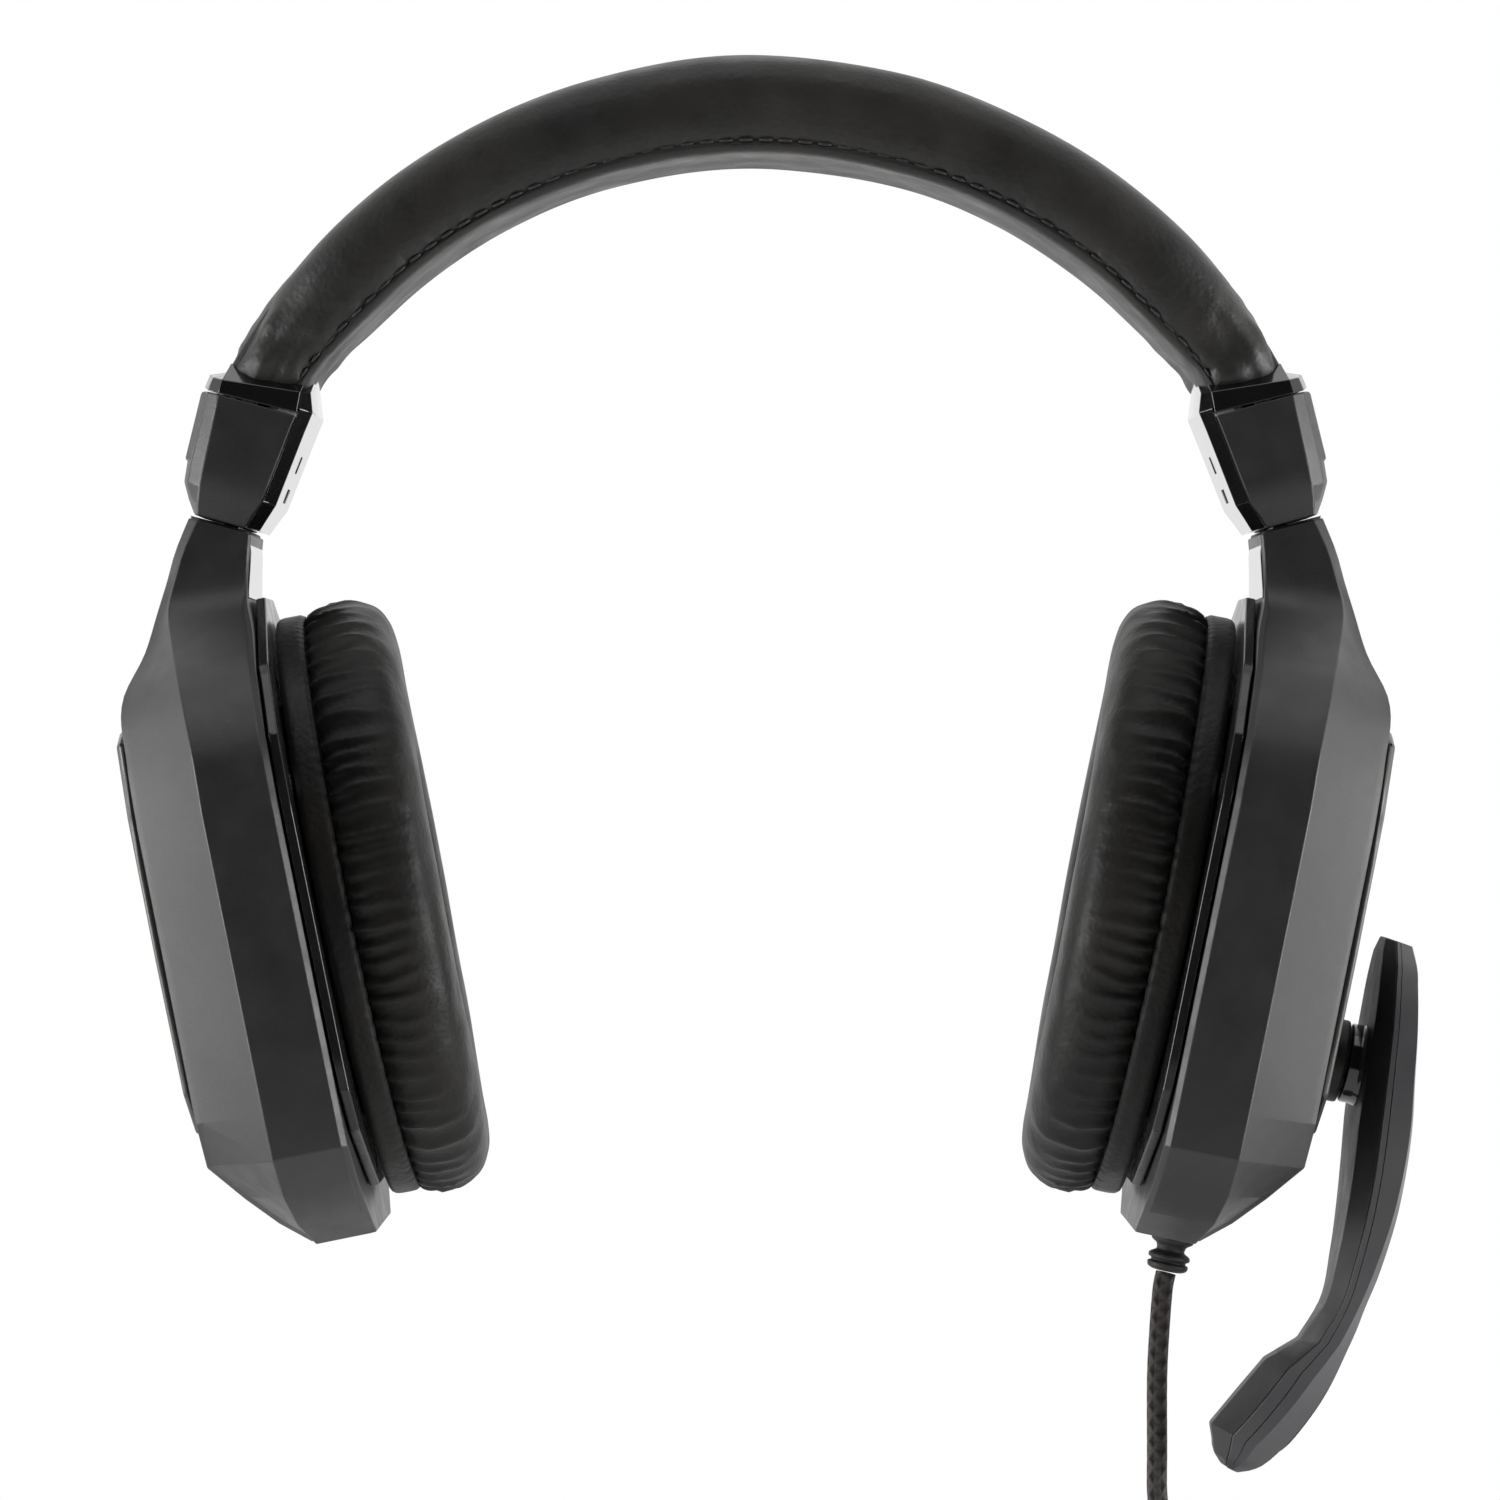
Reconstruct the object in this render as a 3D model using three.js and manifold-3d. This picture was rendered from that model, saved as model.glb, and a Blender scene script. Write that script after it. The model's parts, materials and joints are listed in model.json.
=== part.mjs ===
// Over-ear gaming headset with a swing-down boom microphone.
// Millimetres. +X is the wearer's left, the wearer faces -Y, +Z is up.
// The origin is the middle of the headband's underside, where the crown of the head carries it.
import * as THREE from 'three';
import { mergeVertices } from 'three/addons/utils/BufferGeometryUtils.js';
import Module from 'manifold-3d';

const wasm = await Module();
wasm.setup();

const GAP = 0.3; // clearance between pieces that touch

// Headband: an arc over the head, padded round a spring steel strip.
const CROWN_RADIUS = 80; // from the arc's centre to the padding's underside
const BAND_THICKNESS = 15.1;
const BAND_WIDTH = 32;
const BAND_SWEEP = 62; // degrees from the crown to each end
const BAND_SEGMENTS = 31; // odd, so that one flat segment lies across the crown
const SPRING_RADIUS = 93;
const SPRING_THICKNESS = 1.2;
const SPRING_WIDTH = 15;
const CABLE_DIAMETER = 1.6;

// Adjuster: the housing at each end of the band, and the slider that runs in it.
const ADJUSTER_CENTRE = [78.5, 0, -47.2];
const ADJUSTER_TILT = 15.5; // degrees that its top leans inwards
const ADJUSTER_TOP = 11;
const SLIDER_THICKNESS = 2.4;
const SLIDER_WIDTH = 16;
const SLIDER_TOP = 22; // above the housing's centre when pushed in
const SLIDER_FOOT = -22;
const CLICK_PITCH = 2.5;
const CLICKS = 10;

// Ear cup: its frame's X axis points out of the cup, and its Z axis points up along it.
const CUP_CENTRE = [68.7, 0, -116.7];
const CUP_TILT = 11.5; // degrees that its top leans outwards
const WALL = 2;
const PAD_FACE = -18.5;
const PAD_CENTRE_HEIGHT = -2;
const PAD_BORE = [20, 27]; // half width and half height of the ear opening
const DRIVER_RADIUS = 20;

// Microphone boom, which swings about an axis through the cup's outer plate.
const PIVOT_HEIGHT = -20.5; // in the cup's frame
const PIVOT_FACE = 25;
const PIVOT_RADIUS = 6.5;
const PIVOT_BORE = 2.9;
const PIVOT_BASE_TOP = 28;
const BOOM_PARTING = 0.48; // share of the boom's thickness on its inner side

// Cord: a braided round cord, hanging from the left cup, with its spare length coiled.
const CORD_DIAMETER = 3.2;
const CORD_EXIT = [7.5, 0, -52]; // in the cup's frame
const COIL_MEAN_DIAMETER = 12 * CORD_DIAMETER;
const COIL_TURNS_ACROSS = 4;
const COIL_CENTRE = [63, 4.8, -241.4];

const V = (x, y, z) => new THREE.Vector3(x, y, z);
const radians = THREE.MathUtils.degToRad;

function finish(color, roughness, metalness = 0) {
  return new THREE.MeshStandardMaterial({ color, roughness, metalness });
}

const SHELL = finish(0x2b2b2d, 0.55);
const TRIM = finish(0x0c0c0e, 0.18);
const LEATHERETTE = finish(0x141313, 0.5);
const DARK_PLASTIC = finish(0x1d1d1f, 0.6);
const STEEL = finish(0xa6a8ab, 0.3, 1);
const CLOTH = finish(0x171719, 0.95);
const FILM = finish(0xb9b4a4, 0.35);
const RUBBER = finish(0x131314, 0.75);
const BRAID = finish(0x1e1a19, 0.85);
const GOLD = finish(0xc9a449, 0.25, 1);
const BOARD = finish(0x1f4a2c, 0.5);

// A closed mesh becomes a solid that can be joined and cut.
function toSolid(geometry) {
  const bare = new THREE.BufferGeometry();
  bare.setAttribute('position', geometry.getAttribute('position').clone());
  if (geometry.index) bare.setIndex(geometry.index.clone());
  const merged = mergeVertices(bare, 1e-4);
  const at = merged.getAttribute('position');
  const corner = (i) => new THREE.Vector3().fromBufferAttribute(at, merged.index.getX(i));
  let volume = 0;
  const kept = [];
  for (let i = 0; i < merged.index.count; i += 3) {
    const [a, b, c] = [0, 1, 2].map((k) => merged.index.getX(i + k));
    if (a === b || b === c || c === a) continue;
    volume += corner(i).dot(corner(i + 1).cross(corner(i + 2)));
    kept.push([a, b, c]);
  }
  const faces = volume < 0 ? kept.map(([a, b, c]) => [a, c, b]) : kept;
  return new wasm.Manifold(new wasm.Mesh({
    numProp: 3,
    vertProperties: Float32Array.from(at.array),
    triVerts: Uint32Array.from(faces.flat()),
  }));
}

function toGeometry(solid) {
  const mesh = solid.getMesh();
  const geometry = new THREE.BufferGeometry();
  geometry.setAttribute('position', new THREE.BufferAttribute(Float32Array.from(mesh.vertProperties), 3));
  geometry.setIndex(new THREE.BufferAttribute(Uint32Array.from(mesh.triVerts), 1));
  geometry.computeVertexNormals();
  return geometry;
}

const cut = (body, ...tools) => tools.reduce((left, tool) => left.subtract(toSolid(tool)), toSolid(body));

// Every piece is one named mesh.
function piece(name, shape, material) {
  const solid = shape.isBufferGeometry ? toSolid(shape) : shape;
  const mesh = new THREE.Mesh(toGeometry(solid), material);
  mesh.name = name;
  return mesh;
}

// Skins a row of rings, each with the same number of points. A looped row closes on itself.
function loft(rings, looped = false) {
  const count = rings[0].length;
  const points = rings.flat();
  const index = [];
  const rows = looped ? rings.length : rings.length - 1;
  for (let row = 0; row < rows; row++) {
    const next = (row + 1) % rings.length;
    for (let i = 0; i < count; i++) {
      const j = (i + 1) % count;
      const [a, b, c, d] = [row * count + i, row * count + j, next * count + j, next * count + i];
      index.push(a, b, c, a, c, d);
    }
  }
  if (!looped) {
    capRing(rings[0], 0, points, index, true);
    capRing(rings[rings.length - 1], (rings.length - 1) * count, points, index, false);
  }
  const geometry = new THREE.BufferGeometry().setFromPoints(points);
  geometry.setIndex(index);
  return geometry;
}

function capRing(ring, first, points, index, flipped) {
  const middle = ring.reduce((sum, p) => sum.add(p), V(0, 0, 0)).divideScalar(ring.length);
  const hub = points.push(middle) - 1;
  ring.forEach((_, i) => {
    const [a, b] = [first + i, first + ((i + 1) % ring.length)];
    index.push(...(flipped ? [hub, b, a] : [hub, a, b]));
  });
}

// A ring mirrored about Y = 0 from the outline of its +Y half, given as [x, y, z] rows.
const mirroredRing = (half) => [
  ...half.map(([x, y, z]) => V(x, y, z)),
  ...half.map(([x, y, z]) => V(x, -y, z)).reverse(),
];

// A plate drawn in the YZ plane, from one X to another.
function plate(shape, from, to, curveSegments = 9) {
  const geometry = new THREE.ExtrudeGeometry(shape, { depth: to - from, bevelEnabled: false, curveSegments });
  geometry.applyMatrix4(new THREE.Matrix4().makeBasis(V(0, 1, 0), V(0, 0, 1), V(1, 0, 0)));
  return geometry.translate(from, 0, 0);
}

// A turned piece about the X axis, from [radius, x] rows.
function turned(rows, sides = 18) {
  const profile = rows.map(([radius, x]) => new THREE.Vector2(radius, x));
  return new THREE.LatheGeometry(profile, sides).rotateZ(-Math.PI / 2);
}

function rod(radius, from, to, sides = 18) {
  return turned([[0, from], [radius, from], [radius, to], [0, to]], sides);
}

const box = (x, y, z) => new THREE.BoxGeometry(x[1] - x[0], y[1] - y[0], z[1] - z[0])
  .translate((x[0] + x[1]) / 2, (y[0] + y[1]) / 2, (z[0] + z[1]) / 2);

function polygon(points) {
  const shape = new THREE.Shape();
  shape.setFromPoints(points.map(([y, z]) => new THREE.Vector2(y, z)));
  return shape;
}

function oval([halfWidth, halfHeight], height = PAD_CENTRE_HEIGHT) {
  const shape = new THREE.Shape();
  shape.absellipse(0, height, halfWidth, halfHeight, 0, 2 * Math.PI);
  return shape;
}

const pierced = (outer, inner) => {
  outer.holes.push(inner);
  return outer;
};

// Frames of the adjuster and the cup, as matrices into the headset's frame.
const frameAt = (place, tilt) => new THREE.Matrix4().makeRotationY(radians(tilt)).setPosition(...place);
const adjusterFrame = frameAt(ADJUSTER_CENTRE, -ADJUSTER_TILT);
const cupFrame = frameAt(CUP_CENTRE, CUP_TILT);
const cupFromAdjuster = cupFrame.clone().invert().multiply(adjusterFrame);

// ---- Headband ----

const onArc = (radius, degrees, y) => V(
  radius * Math.sin(radians(degrees)),
  y,
  radius * Math.cos(radians(degrees)) - CROWN_RADIUS,
);

// One cross-section of the padding: flat underneath, rounded on top, narrower where it enters an adjuster.
const BAND_OUTLINE = [
  [0.62, -1], [0.84, -0.86], [0.97, -0.5], [1, -0.05], [0.98, 0.34], [0.86, 0.7], [0.62, 0.9], [0.3, 1],
];

function bandRing(degrees) {
  const taper = THREE.MathUtils.smoothstep(Math.abs(degrees), 46, BAND_SWEEP);
  const bottom = (CROWN_RADIUS + 2 * taper) / Math.cos(radians(BAND_SWEEP / BAND_SEGMENTS));
  const top = CROWN_RADIUS + BAND_THICKNESS - 0.6 * taper;
  const side = BAND_WIDTH / 2 - 2.5 * taper;
  const half = BAND_OUTLINE.map(([across, up]) => [side * across, (top + bottom + (top - bottom) * up) / 2]);
  return [
    ...half.map(([y, radius]) => onArc(radius, degrees, y)),
    ...half.map(([y, radius]) => onArc(radius, degrees, -y)).reverse(),
  ];
}

// A strip of rectangular section that follows the arc.
function arcStrip(radii, y, sweep, segments = BAND_SEGMENTS) {
  const rings = [];
  for (let i = 0; i <= segments; i++) {
    const degrees = sweep * (2 * i / segments - 1);
    const corners = [[radii[0], y[0]], [radii[0], y[1]], [radii[1], y[1]], [radii[1], y[0]]];
    rings.push(corners.map(([radius, across]) => onArc(radius, degrees, across)));
  }
  return loft(rings);
}

const SPRING_RADII = [SPRING_RADIUS - SPRING_THICKNESS / 2, SPRING_RADIUS + SPRING_THICKNESS / 2];
const CABLE_SIDE = -SPRING_WIDTH / 2 - 1.8; // the cable runs beside the spring strip

function headbandCover() {
  const rings = [];
  for (let i = 0; i <= BAND_SEGMENTS; i++) rings.push(bandRing(BAND_SWEEP * (2 * i / BAND_SEGMENTS - 1)));
  const channel = arcStrip(
    [SPRING_RADII[0] - GAP, SPRING_RADII[1] + GAP],
    [CABLE_SIDE - CABLE_DIAMETER / 2 - GAP, SPRING_WIDTH / 2 + GAP],
    BAND_SWEEP + 6,
    BAND_SEGMENTS + 4,
  );
  const side = SLIDER_WIDTH / 2 + GAP;
  const deep = SLIDER_THICKNESS / 2 + GAP;
  const pocket = box([-deep, deep], [-side, side], [ADJUSTER_TOP - 20, SLIDER_TOP + 1]);
  const below = box([-40, 40], [-40, 40], [-60, ADJUSTER_TOP + GAP]);
  let solid = cut(loft(rings), channel);
  for (const tool of [pocket, below]) {
    tool.applyMatrix4(adjusterFrame);
    const other = tool.clone().scale(-1, 1, 1);
    solid = solid.subtract(toSolid(tool)).subtract(toSolid(other));
  }
  return piece('headband_cover', solid, LEATHERETTE);
}

// The strip's tails run straight down into the adjusters, where a screw holds each one.
const SPRING_TAIL = 6; // out from the adjuster's centre
const SPRING_TAIL_FOOT = 1.5;

function headbandSpring() {
  const half = SPRING_WIDTH / 2;
  const rings = [];
  const sweep = 61;
  const tail = (side, heights) => heights.map((height) => [
    [-0.5, -half], [-0.5, half], [0.5, half], [0.5, -half],
  ].map(([across, y]) => V(SPRING_TAIL + across * SPRING_THICKNESS, y, height)
    .applyMatrix4(adjusterFrame).multiply(V(side, 1, 1))));
  const corners = [[0, -half], [0, half], [1, half], [1, -half]];
  rings.push(...tail(-1, [SPRING_TAIL_FOOT, ADJUSTER_TOP - 2]));
  for (let i = 0; i <= BAND_SEGMENTS; i++) {
    const degrees = sweep * (2 * i / BAND_SEGMENTS - 1);
    rings.push(corners.map(([upper, y]) => onArc(SPRING_RADII[upper], degrees, y)));
  }
  rings.push(...tail(1, [ADJUSTER_TOP - 2, SPRING_TAIL_FOOT]));
  const hole = (side) => rod(1.4, 0, 12, 12).translate(0, 0, TAIL_SCREW_HEIGHT)
    .applyMatrix4(adjusterFrame).scale(side, 1, 1);
  return piece('headband_spring', cut(loft(rings), hole(1), hole(-1)), STEEL);
}

function crossoverCable() {
  const points = [];
  for (let i = 0; i <= 24; i++) points.push(onArc(SPRING_RADIUS, 62.4 * (i / 12 - 1), CABLE_SIDE));
  return piece('crossover_cable', tube(points, CABLE_DIAMETER, 8, 32), RUBBER);
}

// A round tube with closed ends along a smooth line through points.
function tube(points, diameter, sides, steps) {
  const section = new THREE.Shape();
  for (let i = 0; i < sides; i++) {
    const angle = 2 * Math.PI * i / sides;
    const corner = [diameter / 2 * Math.cos(angle), diameter / 2 * Math.sin(angle)];
    if (i === 0) section.moveTo(...corner);
    else section.lineTo(...corner);
  }
  const path = new THREE.CatmullRomCurve3(points);
  return new THREE.ExtrudeGeometry(section, { steps, extrudePath: path, bevelEnabled: false });
}

// ---- Adjuster, in its own frame: X out, Z up along the slider ----

// Height, inner face, outer face and half depth of the housing.
// floor: how far the hollow's own section lies above the outer one.
const HOUSING = [
  { floor: WALL, z: -11.4, inner: -4.6, front: 4.9, outer: 6.2, half: 12.4 },
  { floor: 0.6, z: -9.6, inner: -5.3, front: 5.6, outer: 7.6, half: 13.4 },
  { floor: 0, z: -7, inner: -6.2, front: 5.9, outer: 8.9, half: 14.6 },
  { floor: 0, z: -3.8, inner: -6.6, front: 6.1, outer: 9.4, half: 15 },
  { floor: 0, z: 5.3, inner: -7.5, front: 6.6, outer: 9.7, half: 15 },
  { floor: 0, z: 8, inner: -7.8, front: 6.8, outer: 9.4, half: 15 },
  { floor: 5, z: ADJUSTER_TOP, inner: -6.7, front: 6.4, outer: 8.6, half: 14.4 },
];
const PLATE_DEPTH = 2;
const TAIL_SCREW_HEIGHT = 5;

function adjusterHousing() {
  const skin = HOUSING.map(({ z, inner, front, outer, half }) => mirroredRing([
    [inner + PLATE_DEPTH + GAP, half, z], [front, half, z], [outer - 0.8, half - 2, z], [outer, half - 4.5, z],
  ]));
  const inside = HOUSING.map(({ floor, z, inner, outer, half }) => mirroredRing([
    [inner, half - WALL, z + floor],
    [outer - 2 * WALL, half - WALL, z + floor],
    [outer - WALL, half - 5.5, z + floor],
  ]));
  const slot = box([-1.5, 1.5], [-SLIDER_WIDTH / 2 - 0.4, SLIDER_WIDTH / 2 + 0.4], [-20, 0]);
  const boss = rod(3, SPRING_TAIL + SPRING_THICKNESS / 2 + GAP, 9.6, 12).translate(0, 0, TAIL_SCREW_HEIGHT);
  const bore = rod(1.3, 0, 9.2, 12).translate(0, 0, TAIL_SCREW_HEIGHT);
  return cut(loft(skin), loft(inside)).subtract(toSolid(slot)).add(toSolid(boss)).subtract(toSolid(bore));
}

function adjusterPlate() {
  return loft(HOUSING.map(({ z, inner, half }) => mirroredRing([
    [inner, half - 2.6, z], [inner + PLATE_DEPTH, half - GAP, z],
  ])));
}

// The slider's inner face has a notch for each click of the adjustment.
function slider() {
  const face = SLIDER_THICKNESS / 2;
  const outline = [[face, SLIDER_FOOT], [face, SLIDER_TOP - 1], [face - 1, SLIDER_TOP], [1 - face, SLIDER_TOP]];
  outline.push([-face, SLIDER_TOP - 1]);
  for (let click = CLICKS; click >= 0; click--) {
    const z = DETENT_HEIGHT + click * CLICK_PITCH;
    outline.push([-face, z + 0.7], [0.5 - face, z], [-face, z - 0.7]);
  }
  outline.push([-face, SLIDER_FOOT]);
  const geometry = new THREE.ExtrudeGeometry(polygon(outline), { depth: SLIDER_WIDTH, bevelEnabled: false });
  return geometry.rotateX(Math.PI / 2).translate(0, SLIDER_WIDTH / 2, 0);
}

// A leaf spring behind the plate, whose bump drops into the slider's notches.
const DETENT_HEIGHT = -5;
const DETENT_WIDTH = 6;

function detentSpring() {
  const face = -SLIDER_THICKNESS / 2;
  const outer = [
    [face - 1.5, 6], [face - 1.5, -1], [face - 0.4, -4.2],
    [face - 0.1, DETENT_HEIGHT], [face - 0.4, -5.8], [face - 1.3, -8.6],
  ];
  const inner = outer.map(([x, z]) => [x - 0.5, z]).reverse();
  const leaf = polygon([...outer, ...inner]);
  return new THREE.ExtrudeGeometry(leaf, { depth: DETENT_WIDTH, bevelEnabled: false })
    .rotateX(Math.PI / 2)
    .translate(0, DETENT_WIDTH / 2, 0);
}

function tailScrew() {
  const seat = SPRING_TAIL - SPRING_THICKNESS / 2 - GAP;
  const rows = [[0, seat - 1.2], [2, seat - 1.2], [2.2, seat], [1, seat], [1, 8.9], [0, 8.9]];
  return turned(rows, 12).translate(0, 0, TAIL_SCREW_HEIGHT);
}

function adjuster(side) {
  const group = new THREE.Group();
  adjusterFrame.decompose(group.position, group.quaternion, group.scale);
  group.add(
    piece(`adjuster_housing_${side}`, adjusterHousing(), SHELL),
    piece(`adjuster_plate_${side}`, adjusterPlate(), SHELL),
    piece(`detent_spring_${side}`, detentSpring(), STEEL),
    piece(`band_screw_${side}`, tailScrew(), STEEL),
    piece(`slider_${side}`, slider(), STEEL),
  );
  return group;
}

// ---- Ear cup, in its own frame ----

// Height, side wall's edge, outer face, and half depths of the side wall and of the outer face.
const SHELL_PROFILE = [
  { z: -52, side: 9.5, outer: 10.8, deep: 20, flat: 11 },
  { z: -48, side: 11, outer: 14.9, deep: 28.5, flat: 15 },
  { z: -43, side: 11.5, outer: 18.9, deep: 37, flat: 19.5 },
  { z: -37, side: 11.5, outer: 23.2, deep: 43.2, flat: 24 },
  { z: -30, side: 11.5, outer: 23.2, deep: 44, flat: 28 },
  { z: 16, side: 11.5, outer: 23, deep: 44, flat: 28 },
  { z: 26, side: 11.4, outer: 22.8, deep: 41.5, flat: 25.5 },
  { z: 36.5, side: 12, outer: 21.7, deep: 32.5, flat: 20 },
  { z: 42.5, side: 12.6, outer: 17.6, deep: 23, flat: 15.5 },
];
const ARM_PROFILE = [
  { inner: [0.4, 47.6], outer: [14.7, 48.4], side: 12.7, deep: 15.5, flat: 12.6 },
  { inner: [-0.5, 52], outer: [12.3, 53], side: 10.9, deep: 13.4, flat: 11.6 },
  { inner: [-1.4, 55.5], outer: [9.7, 58], side: 8.3, deep: 12.8, flat: 11.4 },
  { inner: [-2, 57.4], outer: [7.1, 61.9], side: 5.7, deep: 12.6, flat: 11.2 },
];

const cupRing = ({ z, side, outer, deep, flat }) => mirroredRing([
  [0, deep - 0.8, z], [0.8, deep, z], [side, deep, z], [outer - 1.2, flat + 1.4, z], [outer, flat, z],
]);

function armRing({ inner, outer, side, deep, flat }) {
  const slope = (outer[1] - inner[1]) / (outer[0] - inner[0]);
  const at = (x, y) => [x, y, inner[1] + slope * (x - inner[0])];
  return mirroredRing([
    at(inner[0], deep - 1.2), at(inner[0] + 1.2, deep), at(side, deep), at(outer[0] - 1.2, flat + 1.2),
    at(outer[0], flat),
  ]);
}

function cupShell(hasMic) {
  const skin = loft([...SHELL_PROFILE.map(cupRing), ...ARM_PROFILE.map(armRing)]);
  const inside = loft(SHELL_PROFILE.map(({ z, side, outer, deep, flat }, i) => {
    const height = i === 0 ? z + WALL : z;
    const wide = deep - WALL - 0.6;
    return mirroredRing([[-3, wide, height], [side - 0.8, wide, height], [outer - WALL, flat - 1.2, height]]);
  }));
  const side = SLIDER_WIDTH / 2 + GAP;
  const deep = SLIDER_THICKNESS / 2 + GAP;
  const socket = box([-deep, deep], [-side, side], [SLIDER_FOOT - 4, 0]).applyMatrix4(cupFromAdjuster);
  const posts = SHELL_SCREWS.map(([y, z]) => {
    const post = toSolid(rod(3, 1, 22.5, 10).translate(0, y, z));
    return post.intersect(toSolid(skin));
  });
  const bores = SHELL_SCREWS.map(([y, z]) => toSolid(rod(1.4, -1, 12, 10).translate(0, y, z)));
  let solid = cut(skin, inside, socket);
  for (const post of posts) solid = solid.add(post);
  for (const bore of bores) solid = solid.subtract(bore);
  if (hasMic) {
    const [x, , z] = CORD_EXIT;
    const cordHole = rod(1.9, -4, 8, 12).rotateY(Math.PI / 2).translate(x, 0, z);
    const pivotHole = rod(PIVOT_BORE, 18, 30, 16).translate(0, 0, PIVOT_HEIGHT);
    solid = solid.subtract(toSolid(pivotHole)).subtract(toSolid(cordHole));
  }
  return solid;
}

const SHELL_SCREWS = [[-34, 18], [34, 18], [-34, -30], [34, -30]];

const TRIM_OUTLINE = [
  [20, -50.5], [42.4, -36.8], [43.2, -30], [43.2, 16], [40.6, 26], [31.6, 36.3], [22.3, 42.3], [14.6, 47.2],
];
const mirrored = (half) => [...half, ...half.map(([y, z]) => [-y, z]).reverse()];
const NECK = [29, 33];

// The glossy plate that closes the shell on the head's side.
function trimPlate() {
  const base = pierced(polygon(mirrored(TRIM_OUTLINE)), oval([NECK[0] + 0.5, NECK[1] + 0.5]));
  const sunk = [[0, -3], [2.5, -3], [2.5, -0.8], [1.4, -0.8], [1.4, 1], [0, 1]];
  const holes = SHELL_SCREWS.map(([y, z]) => turned(sunk, 10).translate(0, y, z));
  return cut(plate(base, -1.6 - GAP, -GAP), ...holes);
}

function shellScrew([y, z]) {
  const rows = [[0, -1.9], [1.9, -1.9], [2.2, -1.6], [2.2, -1.1], [1, -1.1], [1, 11], [0, 11]];
  return turned(rows, 10).translate(0, y, z);
}

// The plate that carries the driver: its neck stands through the trim plate, its flange sits behind it.
function speakerCarrier() {
  const neck = pierced(oval(NECK), hole(DRIVER_RADIUS + GAP, PAD_CENTRE_HEIGHT));
  const flange = pierced(oval([NECK[0] + 3, NECK[1] + 3]), hole(DRIVER_RADIUS + GAP, PAD_CENTRE_HEIGHT));
  return toSolid(plate(neck, -6.4, 1.5)).add(toSolid(plate(flange, GAP, 2.5)));
}

function hole(radius, height) {
  const path = new THREE.Path();
  path.absarc(0, height, radius, 0, 2 * Math.PI, true);
  return path;
}

// The ring that the ear pad's edge is tucked round.
function padRing() {
  return plate(pierced(oval([38, 45.4]), oval([NECK[0] + GAP, NECK[1] + GAP])), -6.7, -2.5, 14);
}

// An oval cushion ring: offsets are measured outwards from the opening's edge.
const PAD_SECTION = [
  [0.5, -8.2], [0, -11], [0.6, -14.8], [2.6, -17.6], [6, PAD_FACE], [12, PAD_FACE], [16.6, -16.9], [19.4, -14],
  [20, -11.2], [19.2, -8.6], [17, -7.1], [9, -7],
];

function earPad() {
  const rings = [];
  const turns = 36;
  for (let i = 0; i < turns; i++) {
    const angle = 2 * Math.PI * i / turns;
    rings.push(PAD_SECTION.map(([offset, x]) => V(
      x,
      (PAD_BORE[0] + offset) * Math.cos(angle),
      (PAD_BORE[1] + offset) * Math.sin(angle) + PAD_CENTRE_HEIGHT,
    )));
  }
  return loft(rings, true);
}

// The driver, from the head outwards: grille, diaphragm, basket and magnet.
function driverGrille() {
  const shape = new THREE.Shape();
  shape.absarc(0, PAD_CENTRE_HEIGHT, DRIVER_RADIUS - 0.4, 0, 2 * Math.PI);
  for (let i = 0; i < 6; i++) {
    const angle = Math.PI / 3 * i;
    const slot = new THREE.Path();
    slot.absarc(11 * Math.cos(angle), 11 * Math.sin(angle) + PAD_CENTRE_HEIGHT, 3.2, 0, 2 * Math.PI, true);
    shape.holes.push(slot);
  }
  shape.holes.push(hole(3.2, PAD_CENTRE_HEIGHT));
  return plate(shape, -6.2, -5.2, 6);
}

const driverDiaphragm = () => turned(
  [[0, -4.6], [6, -4], [7, -3.4], [11, -4.2], [15, -4.2], [17.2, -2.6], [17.2, -2.4], [15, -3.9], [11, -3.9],
    [7, -3.1], [6, -3.7], [0, -4.3]],
);
const driverBasket = () => turned(
  [[10.5, 5.2], [10.5, 3], [14, 1.2], [17.6, -2], [17.6, -4.8], [19.7, -4.8], [19.7, -1.5], [15.5, 3], [12, 5.2],
    [10.5, 5.2]],
);
const driverMagnet = () => turned([[0, -1], [8, -1], [8, 2.6], [10, 3.4], [10, 8.4], [9, 9.2], [0, 9.2]]);

const BADGE_FACE = 22.85; // the shell's outer face under the badge
const BADGE_OUTLINE = [[17, -32], [24.5, -25.5], [25.5, -4], [24, 19], [18.5, 31.5], [10, 33.8]];
const INLAY_OUTLINE = [[12, 5], [18.4, 9], [17, 23], [12.5, 29.4], [7, 30.4]];

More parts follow.
